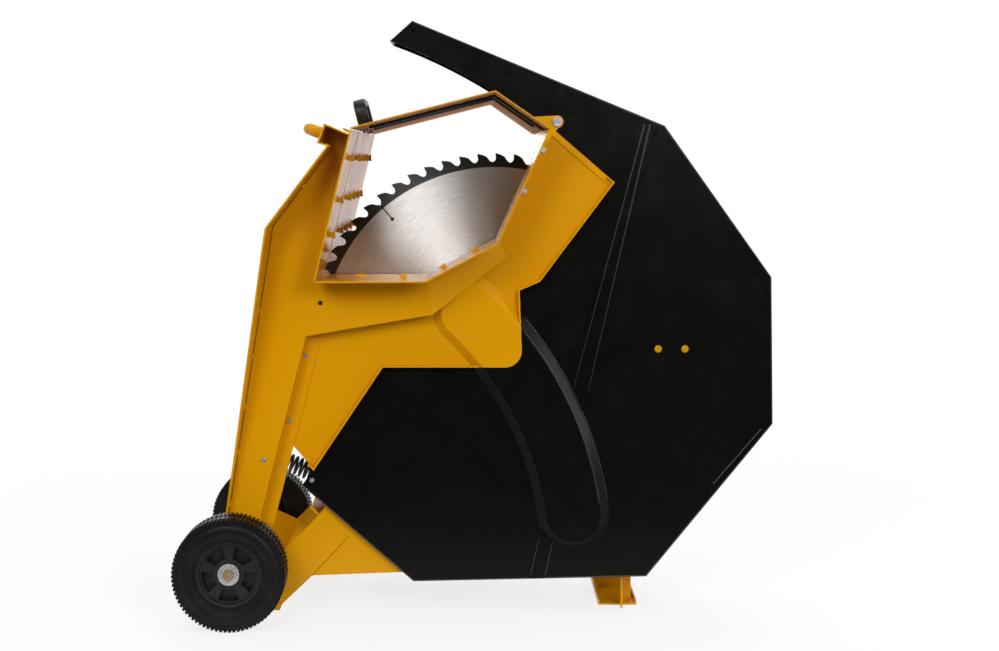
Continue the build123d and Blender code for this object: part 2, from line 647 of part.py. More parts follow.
def side_cover():
    """Yellow side plate over the arbor end: its hump carries on the guard's, its free edges are folded."""
    outline = cover_outline()
    plate = slab(outline, COVER_FACE, COVER_SHEET) + cover_hump()
    plate -= track(GUARD_NEAR_Y, top_angle=TRACK_TOP_ANGLE)
    inside = offset_points(COVER_FOOT, -COVER_LAP)
    outside = offset_points(COVER_FOOT, COVER_LAP)
    lip = (outline - offset(outline, -COVER_SHEET)) & polygon(*inside, *outside[::-1])
    fold = slab(lip, COVER_FACE - COVER_LIP, COVER_LIP) - track(COVER_FACE, TRACK_ROOM, TRACK_TOP_ANGLE)
    crest = [COVER_FOOT[-1], COVER_SHOULDER]
    strip = polygon(*crest, *offset_points(crest, -SHOULDER_STRIP)[::-1]) & outline
    return plate + fold + slab(strip, COVER_FACE - COVER_SHEET, COVER_SHEET)


def arm_edge():
    """Left edge of an arm from the trough's top, round the handle's cap, down to the neck."""
    return [step(TROUGH_OUT[0], LEFT_UP, -CAP_DROP), CAP_HIGH, CAP_LOW, CAP_RETURN, ARM_ELBOW, ARM_NECK_LEFT]


def arm_web():
    """Arm outline: wide under the trough's left plate, narrow at the axle."""
    web = polygon(*arm_edge(), (-ARM_BOSS_R * 0.94, AXLE_Z), (ARM_BOSS_R * 0.9, AXLE_Z), ARM_NECK_RIGHT,
                  ARM_HIP, TROUGH_OUT[1])
    return web + disc(AXLE, ARM_BOSS_R) - disc(AXLE, BUSH_DIA / 2)


def arm_near():
    """Near arm: recessed web, a deep left lip with the handle's cap, and a stepped right edge for the cover."""
    arm = slab(arm_web(), ARM_NEAR_Y, ARM_SHEET)
    lip = bent_sheet(arm_edge(), -ARM_SHEET, 0, ARM_NEAR_Y)
    foot_z = ARM_NECK_LEFT[1]
    keep = [(ARM_NEAR_Y, foot_z), (ARM_NEAR_Y - ARM_LIP_FOOT, foot_z), (ARM_NEAR_Y - ARM_LIP, ARM_LIP_MID_Z),
            (0, ARM_ELBOW[1] - ARM_LIP), (0, CAP_HIGH[1]), (ARM_NEAR_Y, CAP_HIGH[1])]
    side = Plane(origin=(-WHEEL_DIA, 0, 0), x_dir=(0, 1, 0), z_dir=(1, 0, 0))
    arm += lip & extrude(side * polygon(*keep), amount=TROUGH_DEPTH)
    edge = [ARM_HIP, ARM_NECK_RIGHT]
    strip_y = COVER_FACE - ARM_SHEET
    arm += bent_sheet(edge, ARM_SHEET, ARM_NEAR_Y + ARM_SHEET, COVER_FACE)
    arm += bent_sheet(edge, -ARM_STRIP_WIDTH, strip_y, COVER_FACE)
    return arm - left_sheet()


def arm_far():
    """Far arm: the same outline, with its lip on the far side, ending above the wheel."""
    arm = slab(arm_web(), ARM_FAR_Y, ARM_SHEET)
    y0 = ARM_FAR_Y + ARM_SHEET
    lip = bent_sheet(arm_edge(), -ARM_SHEET, y0, y0 + ARM_LIP)
    arm += lip - rod(AXLE, WHEEL_DIA / 2 + ARM_LIP, y0, y0 + ARM_LIP)
    return arm - left_sheet()


def pivot_bush(span):
    return tube(AXLE, BUSH_DIA / 2, AXLE_R + RUN_GAP, span[0], span[1])


def push_handle():
    """U-shaped push bar; its two legs end square on the caps of the arms."""
    lean = radians(HANDLE_TILT)
    seat = ((CAP_HIGH[0] + CAP_LOW[0]) / 2, (CAP_HIGH[1] + CAP_LOW[1]) / 2)
    into = step(seat, (cos(lean), -sin(lean)), HANDLE_LEG)
    bend = step(seat, (-cos(lean), sin(lean)), HANDLE_REACH / cos(lean))
    path = FilletPolyline((into[0], HANDLE_NEAR_Y, into[1]), (bend[0], HANDLE_NEAR_Y, bend[1]),
                          (bend[0], HANDLE_FAR_Y, bend[1]), (into[0], HANDLE_FAR_Y, into[1]),
                          radius=HANDLE_BEND)
    start = Plane(origin=path @ 0, z_dir=path % 0)
    ring = Circle(HANDLE_DIA / 2) - Circle(HANDLE_DIA / 2 - HANDLE_WALL)
    bar = sweep(start * ring, path=path)
    face = (CAP_HIGH[0] - CAP_LOW[0], CAP_HIGH[1] - CAP_LOW[1])
    above, below = step(CAP_HIGH, face, 1), step(CAP_LOW, face, -1)
    inside = polygon(above, below, (below[0] + BLADE_DIA, below[1]), (above[0] + BLADE_DIA, above[1]))
    return bar - slab(inside, 0, TROUGH_DEPTH)


def frame_outline():
    """Side plate of the frame: front foot, axle boss, sill and a rising top edge."""
    outline = polygon((FOOT_HEEL, 0), (FOOT_TIP, 0), *SILL_FRONT, (REAR_LEG_LEFT - REAR_LEG_FLARE, SILL_Z),
                      (REAR_X, SILL_Z), (REAR_X, REAR_Z), *FRAME_TOP)
    outline += disc(AXLE, FRAME_BOSS_R)
    return outline - disc(AXLE, AXLE_R + RUN_GAP)


def rear_leg():
    return polygon((REAR_LEG_LEFT - REAR_LEG_FLARE, SILL_Z), (REAR_LEG_LEFT, FRAME_SHEET),
                   (REAR_LEG_RIGHT, FRAME_SHEET), (REAR_X, SILL_Z))


def frame_plate_near():
    """Near side plate, with the spring's tab behind the guard's tip."""
    tab = polygon(*SPRING_TAB_ROOT, (SPRING_TAB[0] + SPRING_TAB_R, SPRING_TAB[1]),
                  (SPRING_TAB[0] - SPRING_TAB_R / 2, SPRING_TAB[1])) + disc(SPRING_TAB, SPRING_TAB_R)
    return slab(frame_outline() + tab, FRAME_NEAR_Y, FRAME_SHEET)


def frame_plate_far():
    return slab(frame_outline() + rear_leg(), FRAME_FAR_Y, FRAME_SHEET)


def frame_plate_mid():
    """Inner plate behind the guard that carries the motor shelf."""
    outline = polygon((MID_PLATE_LEFT, SILL_Z), (REAR_X, SILL_Z), (REAR_X, REAR_Z), (SHELF_RIGHT, shelf_top()),
                      (SHELF_LEFT, shelf_top()), (MID_PLATE_LEFT, MID_PLATE_Z)) + rear_leg()
    return slab(outline, FRAME_MID_Y, FRAME_SHEET)


def shelf_top():
    return ARBOR_Z - MOTOR_DIA / 2 - MOTOR_FOOT_HEIGHT


def motor_shelf():
    """Shelf between the inner and the far plate, with a back leg down to each side's sill."""
    y0 = FRAME_MID_Y + FRAME_SHEET
    shelf = block(SHELF_LEFT, SHELF_RIGHT, y0, FRAME_FAR_Y, shelf_top() - FRAME_SHEET, shelf_top())
    far_leg = polygon((SHELF_LEFT, shelf_top()), (SHELF_RIGHT, shelf_top()),
                      (SHELF_RIGHT + SHELF_FLARE, REAR_Z), (SHELF_LEFT - SHELF_FLARE, REAR_Z))
    return shelf + slab(far_leg, FRAME_FAR_Y - FRAME_SHEET, FRAME_SHEET)


def front_cross_channel():
    """Folded sheet between the side plates: a joggled top edge and a flat down to the axle's boss."""
    return bent_sheet(CHANNEL_LINE, -FRAME_SHEET, FRAME_NEAR_Y + FRAME_SHEET, FRAME_FAR_Y)


def front_foot():
    """Angle on the ground between the side plates, under the axle."""
    y0 = FRAME_NEAR_Y + FRAME_SHEET
    line = [(FOOT_TIP, 0), (FOOT_HEEL, 0), (FOOT_HEEL, FOOT_LIP)]
    return bent_sheet(line, FRAME_SHEET, y0, FRAME_FAR_Y)


def rear_foot():
    """Shallow channel on the ground under the saw's back end."""
    left = REAR_X - REAR_FOOT_WIDTH
    line = [(REAR_X, REAR_FOOT_LIP), (REAR_X, 0), (left, 0), (left, REAR_FOOT_LIP)]
    return bent_sheet(line, FRAME_SHEET, REAR_FOOT_NEAR, REAR_FOOT_FAR)


def rear_leg_near():
    """Angle that joins the near side plate to the rear foot inside the guard."""
    t = FRAME_SHEET
    x = REAR_LEG_RIGHT - ANGLE_WIDTH
    y0 = FRAME_NEAR_Y + t
    y1 = REAR_FOOT_NEAR + ANGLE_OVERLAP
    return block(x, x + t, y0, y1, t, REAR_Z) + block(x + t, x + ANGLE_WIDTH, y1 - t, y1, t, REAR_Z)


def axle():
    return rod(AXLE, AXLE_R, 0, FAR_FACE_Y)


def hub_face():
    return AXLE_PROUD + CLIP_THICK + WASHER_THICK


def washer(y_near):
    return tube(AXLE, WASHER_DIA / 2, AXLE_R + RUN_GAP, y_near, y_near + WASHER_THICK)


def clip(y_near):
    """Open spring clip at the axle's end."""
    ring = disc(AXLE, AXLE_R + CLIP_RING) - disc(AXLE, AXLE_R + RUN_GAP)
    ring -= Pos(0, AXLE_Z - AXLE_R) * Rectangle(CLIP_GAP, AXLE_DIA)
    return slab(ring, y_near, CLIP_THICK)


def spacer(y_near, y_far):
    return tube(AXLE, BUSH_DIA / 2, AXLE_R + RUN_GAP, y_near + FACE_GAP, y_far - FACE_GAP)


def lug_ring(turn):
    """Outline of the tread: small square lugs with a gap after each."""
    radius = WHEEL_DIA / 2
    root = radius - TREAD_DEPTH
    points = []
    for i in range(TREAD_LUGS):
        for share, reach in ((0.0, radius), (LUG_SHARE, radius), (LUG_SHARE, root), (1.0, root)):
            angle = radians((i + turn + share) * 360 / TREAD_LUGS)
            points.append((reach * cos(angle), AXLE_Z + reach * sin(angle)))
    return polygon(*points) - disc(AXLE, RIM_DIA / 2)


def tyre(y_near):
    """Solid tyre: two rows of lugs, half a pitch apart, with a groove between them."""
    far = y_near + WHEEL_WIDTH
    groove = tube(AXLE, WHEEL_DIA / 2 - TREAD_DEPTH, RIM_DIA / 2, y_near + LUG_ROW, far - LUG_ROW)
    return slab(lug_ring(0), y_near, LUG_ROW) + groove + slab(lug_ring(0.5), far - LUG_ROW, LUG_ROW)


def rim(outer_face, inward):
    """Moulded rim: bead ring, dished web with blind wedge pockets, and a long hub."""
    def layer(sketch, start, end):
        near = outer_face + (start if inward > 0 else -end)
        return slab(sketch, near, end - start)

    inner = RIM_DIA / 2 - RIM_BEAD
    bore = disc(AXLE, AXLE_R + RUN_GAP)
    belt = disc(AXLE, inner - POCKET_EDGE) - disc(AXLE, HUB_DIA / 2 + POCKET_EDGE)
    web = layer(disc(AXLE, inner) - bore, WEB_INSET, WEB_INSET + WEB_THICK)
    for i in range(POCKET_COUNT):
        middle = 270 + i * 360 / POCKET_COUNT
        sides = [radians(middle - POCKET_ANGLE / 2), radians(middle + POCKET_ANGLE / 2)]
        wedge = polygon(AXLE, *[(RIM_DIA * cos(a), AXLE_Z + RIM_DIA * sin(a)) for a in sides])
        web -= layer(belt & wedge, WEB_INSET, WEB_INSET + POCKET_DEPTH)
    bead = layer(disc(AXLE, RIM_DIA / 2) - disc(AXLE, inner), RIM_INSET, WHEEL_WIDTH - RIM_INSET)
    hub = layer(disc(AXLE, HUB_DIA / 2) - bore, hub_face() + FACE_GAP, WHEEL_WIDTH)
    return bead + web + hub


def saw_blade():
    """Blade with hooked teeth, each with a round gullet, and relief slots that run in from four gullets."""
    root = BLADE_DIA / 2 - TOOTH_DEPTH
    points = []
    for i in range(BLADE_TEETH):
        for share, height in TOOTH_PROFILE:
            angle = radians(180 - (i + share) * 360 / BLADE_TEETH)
            radius = root + height * TOOTH_DEPTH
            points.append((radius * cos(angle), radius * sin(angle)))
    face = polygon(*points) - Circle(SHAFT_DIA / 2 + RUN_GAP)
    inner = root - RELIEF_LENGTH
    relief = Pos(root - RELIEF_LENGTH / 2, 0) * Rectangle(RELIEF_LENGTH + TOOTH_DEPTH / 2, RELIEF_WIDTH)
    relief += Pos(inner, 0) * Circle(RELIEF_HOLE_DIA / 2)
    for i in range(RELIEF_SLOTS):
        gullet = RELIEF_TOOTH + TOOTH_PROFILE[5][0]
        face -= Rot(0, 0, 180 - gullet * 360 / BLADE_TEETH + i * 360 / RELIEF_SLOTS) * relief
    return slab(Pos(ARBOR_X, ARBOR_Z) * face, BLADE_NEAR, BLADE_THICK)


def arbor_shaft():
    near = BLADE_NEAR - FLANGE_THICK - NUT_LENGTH - SHAFT_STICKOUT
    return rod((ARBOR_X, ARBOR_Z), SHAFT_DIA / 2, near, MOTOR_NEAR)


def flange(y_near, outside_near):
    """Clamping flange with a raised ring on the blade side."""
    here = (ARBOR_X, ARBOR_Z)
    bore = SHAFT_DIA / 2 + RUN_GAP
    half = FLANGE_THICK / 2
    dish_y = y_near if outside_near else y_near + half
    ring_y = y_near + half if outside_near else y_near
    return (tube(here, FLANGE_DIA / 2 - FLANGE_STEP, bore, dish_y, dish_y + half)
            + tube(here, FLANGE_DIA / 2, bore, ring_y, ring_y + half))


def arbor_nut():
    y = BLADE_NEAR - FLANGE_THICK - NUT_LENGTH
    hexagon = RegularPolygon(NUT_ACROSS / 2, 6, major_radius=False) - Circle(SHAFT_DIA / 2 + RUN_GAP)
    return slab(Pos(ARBOR_X, ARBOR_Z) * hexagon, y, NUT_LENGTH)


def arbor_housing():
    """Bearing housing on the motor's front, long enough to reach through the guard's slot."""
    here = (ARBOR_X, ARBOR_Z)
    bore = SHAFT_DIA / 2 + RUN_GAP
    plate_y = MOTOR_NEAR - HOUSING_PLATE
    neck = tube(here, HOUSING_DIA / 2, bore, HOUSING_NEAR, plate_y)
    return neck + tube(here, MOTOR_DIA / 2 - FIN_DEPTH, bore, plate_y, MOTOR_NEAR)


def motor_body():
    """Finned motor shell."""
    radius = MOTOR_DIA / 2
    section = Circle(radius)
    for i in range(MOTOR_FINS):
        angle = 360 / MOTOR_FINS * i
        if abs(angle - 270) > FINLESS_ANGLE and FINLESS_ANGLE < angle < 360 - FINLESS_ANGLE:
            section -= Rot(0, 0, angle) * Pos(radius, 0) * Rectangle(FIN_DEPTH * 2, FIN_SLOT)
    return slab(Pos(ARBOR_X, ARBOR_Z) * section, MOTOR_NEAR, MOTOR_FAR - MOTOR_NEAR)


def motor_feet():
    """Two foot rails cast under the motor's shell."""
    half = MOTOR_FOOT_SPREAD / 2
    top = shelf_top() + MOTOR_FOOT_TOP
    y0 = MOTOR_NEAR + MOTOR_FOOT_INSET
    y1 = FRAME_FAR_Y - MOTOR_FOOT_CLEAR
    feet = block(ARBOR_X - half, ARBOR_X - half + MOTOR_FOOT_WIDTH, y0, y1, shelf_top(), top)
    feet += block(ARBOR_X + half - MOTOR_FOOT_WIDTH, ARBOR_X + half, y0, y1, shelf_top(), top)
    return feet - rod((ARBOR_X, ARBOR_Z), MOTOR_DIA / 2, MOTOR_NEAR, MOTOR_FAR)


def motor_cowl():
    """Fan cowl at the motor's far end with a ring of air slots."""
    here = (ARBOR_X, ARBOR_Z)
    outer = MOTOR_DIA / 2
    end = MOTOR_FAR + COWL_LENGTH - COWL_WALL
    cowl = tube(here, outer, outer - COWL_WALL, MOTOR_FAR, end)
    face = Circle(outer)
    for i in range(COWL_SLOTS):
        face -= Rot(0, 0, 360 / COWL_SLOTS * i) * Pos(outer * 0.58, 0) * SlotOverall(outer * 0.5, COWL_SLOT)
    return cowl + slab(Pos(*here) * face, end, COWL_WALL)


SWITCH_X = ARBOR_X + MOTOR_DIA / 2 - SWITCH_SINK
SWITCH_FACE = SWITCH_X + SWITCH_WIDTH


def button_hole(turn_on):
    z = ARBOR_Z + (BUTTON_PITCH / 2 if turn_on else -BUTTON_PITCH / 2)
    return Plane(origin=(SWITCH_FACE, SWITCH_Y, z), x_dir=(0, 1, 0), z_dir=(1, 0, 0))


def switch_box():
    box = block(SWITCH_X, SWITCH_FACE, SWITCH_Y - SWITCH_DEPTH / 2, SWITCH_Y + SWITCH_DEPTH / 2,
                ARBOR_Z - SWITCH_HEIGHT / 2, ARBOR_Z + SWITCH_HEIGHT / 2)
    box = fillet(box.edges().filter_by(Axis.X), SWITCH_ROUND)
    box -= rod((ARBOR_X, ARBOR_Z), MOTOR_DIA / 2, MOTOR_NEAR, MOTOR_FAR)
    depth = BUTTON_LENGTH - BUTTON_PROUD + BUTTON_ROOM
    for turn_on in (True, False):
        box -= extrude(button_hole(turn_on) * Circle(BUTTON_DIA / 2 + RUN_GAP), amount=-depth)
    return box


def button(turn_on):
    plane = button_hole(turn_on)
    stem = extrude(plane * Circle(BUTTON_DIA / 2), amount=BUTTON_PROUD)
    stem += extrude(plane * Circle(BUTTON_DIA / 2), amount=-(BUTTON_LENGTH - BUTTON_PROUD))
    top = stem.faces().sort_by(Axis.X)[-1]
    return chamfer(top.edges(), BUTTON_BEVEL)


def power_inlet():
    """Round appliance inlet under the switch box, pins inside a collar."""
    bottom = ARBOR_Z - SWITCH_HEIGHT / 2
    base = Plane(origin=(SWITCH_X + SWITCH_WIDTH / 2 + INLET_WALL, SWITCH_Y, bottom), z_dir=(0, 0, -1))
    collar = Circle(INLET_DIA / 2) - Circle(INLET_DIA / 2 - INLET_WALL)
    inlet = extrude(base * collar, amount=INLET_LENGTH)
    inlet += extrude(base * Circle(INLET_DIA / 2), amount=INLET_BASE)
    for i in range(INLET_PINS):
        pin = Rot(0, 0, 360 / INLET_PINS * i) * Pos(INLET_DIA * 0.27, 0) * Circle(INLET_PIN_DIA / 2)
        inlet += extrude(base * pin, amount=INLET_LENGTH - INLET_PIN_INSET)
    return inlet


def sector(start, end, radius):
    """Pie slice about the arbor between two angles."""
    steps = 6
    reach = radius / cos(radians((end - start) / steps / 2))
    rim_points = []
    for i in range(steps + 1):
        angle = radians(start + (end - start) * i / steps)
        rim_points.append((ARBOR_X + reach * cos(angle), ARBOR_Z + reach * sin(angle)))
    return polygon((ARBOR_X, ARBOR_Z), *rim_points)


def lower_blade_box():
    """Fixed casing round the lower half of the blade, open below for the sawdust."""
    here = (ARBOR_X, ARBOR_Z)
    reach = BOX_RADIUS + BOX_INNER
    half = sector(BOX_START, BOX_END, reach)
    wall = (disc(here, BOX_RADIUS) - disc(here, BOX_INNER)) & half
    edge = (disc(here, BOX_RADIUS) - disc(here, BOX_RADIUS - BOX_SHEET)) & half
    edge -= sector(CHUTE_START, CHUTE_END, reach)
    inside = BOX_NEAR_Y + BOX_SHEET
    box = slab(wall, BOX_NEAR_Y, BOX_SHEET) + slab(wall, BOX_FAR_Y, BOX_SHEET)
    box += slab(edge, inside, BOX_FAR_Y - inside)
    for angle in POST_ANGLES:
        post = step(here, (cos(radians(angle)), sin(radians(angle))), BOX_RADIUS - POST_INSET)
        box += rod(post, POST_DIA / 2, FRAME_NEAR_Y + FRAME_SHEET, BOX_NEAR_Y)
    return box


def spring_points():
    """Helix points a quarter turn apart, with the direction of the wire at each."""
    end = Vector(SPRING_TAB[0], SPRING_Y, SPRING_TAB[1])
    start = Vector(SPRING_START[0], SPRING_Y, SPRING_START[1])
    radius = (SPRING_DIA - SPRING_WIRE) / 2
    slope = (end - start).normalized()
    up = Vector(-slope.Z, 0, slope.X)
    end = end + up * radius
    axis = (end - start).normalized()
    up = Vector(-axis.Z, 0, axis.X)
    deep = Vector(0, 1, 0)
    length = (end - start).length
    quarters = SPRING_TURNS * 4 + 2
    turn = pi / 2
    places = []
    for i in range(quarters + 1):
        angle = i * turn
        place = start + axis * (length * i / quarters)
        place += up * (radius * cos(angle)) + deep * (radius * sin(angle))
        way = up * (-radius * sin(angle)) + deep * (radius * cos(angle)) + axis * (length / quarters / turn)
        places.append((place, way.normalized()))
    places[0] = (places[0][0], deep)
    places[-1] = (places[-1][0], deep * -1)
    return places


def biarc(p0, t0, p1, t1):
    """Two arcs that join two points smoothly along the given directions."""
    v = p1 - p0
    t = t0 + t1
    lean = 2 * (1 - t0.dot(t1))
    reach = (-v.dot(t) + sqrt(v.dot(t) ** 2 + lean * v.dot(v))) / lean
    middle = (p0 + t0 * reach + p1 - t1 * reach) / 2
    first = Edge.make_tangent_arc(p0, t0, middle)
    return [first, Edge.make_tangent_arc(middle, first % 1, p1)]


def return_spring():
    """Coil spring with straight legs: one seats on the arm's strip, the other on the frame's tab."""
    places = spring_points()
    arm_seat = Vector(places[0][0].X, COVER_FACE, places[0][0].Z)
    tab_seat = Vector(places[-1][0].X, FRAME_NEAR_Y + FRAME_SHEET, places[-1][0].Z)
    edges = [Edge.make_line(arm_seat, places[0][0])]
    for (p0, t0), (p1, t1) in zip(places, places[1:]):
        edges += biarc(p0, t0, p1, t1)
    edges.append(Edge.make_line(places[-1][0], tab_seat))
    path = Wire(edges)
    start = Plane(origin=arm_seat, z_dir=(0, 1, 0))
    spring = sweep(start * Circle(SPRING_WIRE / 2), path=path)
    samples = [path @ (i / 600) for i in range(601)]
    apart = int(600 * 0.6 / SPRING_TURNS)
    gap = min((a - b).length for i, a in enumerate(samples) for b in samples[i + apart:]) - SPRING_WIRE
    print(f"return spring: least gap to itself {gap:.2f} mm")
    return spring


def build_nodes():
    far_end = FAR_FACE_Y - hub_face()
    nodes = {
        "frame_plate_near": frame_plate_near(),
        "frame_plate_mid": frame_plate_mid(),
        "frame_plate_far": frame_plate_far(),
        "front_cross_channel": front_cross_channel(),
        "front_foot": front_foot(),
        "rear_foot": rear_foot(),
        "rear_leg_near": rear_leg_near(),
        "motor_shelf": motor_shelf(),
        "axle": axle(),
        "axle_washer_near": washer(AXLE_PROUD + CLIP_THICK),
        "axle_washer_far": washer(far_end),
        "axle_clip_near": clip(AXLE_PROUD),
        "axle_clip_far": clip(FAR_FACE_Y - AXLE_PROUD - CLIP_THICK),
        "axle_spacer_near": spacer(WHEEL_WIDTH, BUSH_NEAR[0]),
        "axle_spacer_inner": spacer(BUSH_NEAR[1], FRAME_NEAR_Y),
        "lower_blade_box": lower_blade_box(),
        "arbor_housing": arbor_housing(),
        "motor_body": motor_body(),
        "motor_feet": motor_feet(),
        "motor_cowl": motor_cowl(),
        "switch_box": switch_box(),
        "power_inlet": power_inlet(),
        "return_spring": return_spring(),
        "arm_near": arm_near(),
        "arm_far": arm_far(),
        "pivot_bush_near": pivot_bush(BUSH_NEAR),
        "pivot_bush_far": pivot_bush(BUSH_FAR),
        "trough_left_near": trough_left_near(),
        "trough_left_far": trough_left_far(),
        "trough_left_tie": trough_left_tie(),
        "trough_bed": trough_bed(),
        "wood_spikes": wood_spikes(),
        "near_end_plate": near_end_plate(),
        "far_end_plate": far_end_plate(),
        "side_cover": side_cover(),
        "guard_front_sheet": guard_front_sheet(),
        "guard_rear_sheet": guard_rear_sheet(),
        "guard_far_sheet": guard_far_sheet(),
        "guard_rim": guard_rim(),
        "push_handle": push_handle(),
        "hinge_bolt_near": hinge_bolt(True),
        "hinge_bolt_far": hinge_bolt(False),
        "lid_sheet": lid_sheet(),
        "lid_handle": lid_handle(),
        "saw_blade": saw_blade(),
        "arbor_shaft": arbor_shaft(),
        "outer_flange": flange(BLADE_NEAR - FLANGE_THICK, True),
        "inner_flange": flange(BLADE_FAR, False),
        "arbor_nut": arbor_nut(),
        "wheel_near_tyre": tyre(0),
        "wheel_near_rim": rim(0, 1),
        "wheel_far_tyre": tyre(FAR_WHEEL_Y),
        "wheel_far_rim": rim(FAR_FACE_Y, -1),
        "start_button": button(True),
        "stop_button": button(False),
    }
    return nodes


os.makedirs("parts", exist_ok=True)
for name, shape in build_nodes().items():
    export_step(Pos(-X_MID, -Y_MID, 0) * shape, f"parts/{name}.step")
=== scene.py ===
import json
from math import cos, pi, radians, sin

import bmesh
import bpy
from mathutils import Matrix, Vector


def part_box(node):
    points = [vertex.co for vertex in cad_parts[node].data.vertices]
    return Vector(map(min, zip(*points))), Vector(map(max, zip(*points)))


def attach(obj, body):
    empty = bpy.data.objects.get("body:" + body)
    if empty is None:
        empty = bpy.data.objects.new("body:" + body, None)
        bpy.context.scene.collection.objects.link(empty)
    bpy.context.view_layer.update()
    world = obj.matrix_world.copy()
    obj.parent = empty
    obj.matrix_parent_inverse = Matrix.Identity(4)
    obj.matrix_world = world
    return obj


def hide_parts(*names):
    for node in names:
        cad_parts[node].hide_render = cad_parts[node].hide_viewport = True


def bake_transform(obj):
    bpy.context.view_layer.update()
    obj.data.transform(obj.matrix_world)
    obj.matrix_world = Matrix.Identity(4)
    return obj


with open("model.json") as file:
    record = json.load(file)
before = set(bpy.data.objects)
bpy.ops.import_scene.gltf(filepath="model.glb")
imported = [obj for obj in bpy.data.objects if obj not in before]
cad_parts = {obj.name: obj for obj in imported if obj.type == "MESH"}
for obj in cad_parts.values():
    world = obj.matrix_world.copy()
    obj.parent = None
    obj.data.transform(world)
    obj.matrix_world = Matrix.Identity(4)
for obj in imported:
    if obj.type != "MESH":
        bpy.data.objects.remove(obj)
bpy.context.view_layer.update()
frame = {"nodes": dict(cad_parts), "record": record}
scene = bpy.context.scene

# Viewpoint: the saw is seen square from its blade side by a level lens at the trough's height, a little
# left of the arbor. The picture is framed by shifting the lens, not by tilting it.
PICTURE_WIDTH = 999
PICTURE_HEIGHT = 651
FOCAL_PIXELS = 1600
LEVEL_POINT = (469, 158)
SENSOR_WIDTH = 36
VIEW_DISTANCE = 2.800
VIEW_HEIGHT = 0.831
VIEW_FROM_AXLE = 0.4218

axle_low, axle_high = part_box("axle")
AXLE_X = (axle_low[0] + axle_high[0]) / 2
NEAR_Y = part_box("trough_bed")[0][1]


def spot(x, y, z):
    """Place in metres from millimetres right of the axle, behind the near side and above the ground."""
    return Vector((AXLE_X + x / 1000, NEAR_Y + y / 1000, z / 1000))


lens = bpy.data.cameras.new("viewpoint")
lens.sensor_width = SENSOR_WIDTH
lens.lens = FOCAL_PIXELS / PICTURE_WIDTH * SENSOR_WIDTH
lens.shift_x = (PICTURE_WIDTH / 2 - LEVEL_POINT[0]) / PICTURE_WIDTH
lens.shift_y = -(PICTURE_HEIGHT / 2 - LEVEL_POINT[1]) / PICTURE_WIDTH
viewpoint = bpy.data.objects.new("viewpoint", lens)
viewpoint.location = (AXLE_X + VIEW_FROM_AXLE, NEAR_Y - VIEW_DISTANCE, VIEW_HEIGHT)
viewpoint.rotation_euler = (radians(90), 0, 0)
scene.collection.objects.link(viewpoint)
scene.camera = viewpoint
scene.view_settings.view_transform = "Standard"


# Studio: a pale paper floor that runs out into a white room, with large soft lamps round the saw and a dim
# gap where the viewer stands: there the paper ends and the studio's own floor is dark. The paper keeps the
# saw's shadow and turns plain white behind it, so no edge shows.
def feed(tree, socket, value):
    """Joins a socket to another node's output, or sets it where a plain value is given."""
    if isinstance(value, bpy.types.NodeSocket):
        tree.links.new(value, socket)
    else:
        socket.default_value = value


def add_node(tree, kind, **feeds):
    """New node with its inputs fed by name."""
    node = tree.nodes.new(kind)
    for key, value in feeds.items():
        feed(tree, node.inputs[key.replace("_", " ")], value)
    return node


def maths(tree, operation, first, second):
    """What an operation makes of two numbers."""
    node = tree.nodes.new("ShaderNodeMath")
    node.operation = operation
    feed(tree, node.inputs[0], first)
    feed(tree, node.inputs[1], second)
    return node.outputs[0]


def vector_maths(tree, operation, *values):
    """What an operation makes of vectors or numbers, fed in turn to the sockets that it has."""
    node = tree.nodes.new("ShaderNodeVectorMath")
    node.operation = operation
    for socket, value in zip([socket for socket in node.inputs if socket.enabled], values):
        feed(tree, socket, value)
    return next(socket for socket in node.outputs if socket.enabled)


def ranged(tree, value, low, high, to_low=0.0, to_high=1.0, curve="LINEAR"):
    """A value's range stretched to another range."""
    node = add_node(tree, "ShaderNodeMapRange", Value=value, From_Min=low, From_Max=high,
                    To_Min=to_low, To_Max=to_high)
    node.interpolation_type = curve
    return node.outputs["Result"]


def mixed(tree, factor, first, second, kind="RGBA", blend="MIX"):
    """Mix of two colours, or of two numbers."""
    node = tree.nodes.new("ShaderNodeMix")
    node.data_type = kind
    node.blend_type = blend
    for name, value in (("Factor", factor), ("A", first), ("B", second)):
        feed(tree, node.inputs[name], value)
    return node.outputs["Result"]


def looked_at(tree):
    """Masks of what the camera sees, and of what is seen by it or in metal and glass."""
    ray = tree.nodes.new("ShaderNodeLightPath").outputs
    mirrored = maths(tree, "MAXIMUM", ray["Is Glossy Ray"], ray["Is Transmission Ray"])
    return ray["Is Camera Ray"], maths(tree, "MAXIMUM", mirrored, ray["Is Camera Ray"])


WHITE = (1, 1, 1, 1)
FLOOR_SIZE = 40.0
PAPER_GREY = (0.90, 0.90, 0.90, 1)
STUDIO_DARK = (0.06, 0.06, 0.06, 1)
PAPER_GLOW = 0.78
FADE_START = 0.55
FADE_END = 1.9
PAPER_FRONT = -0.9
PAPER_WHOLE = -0.55

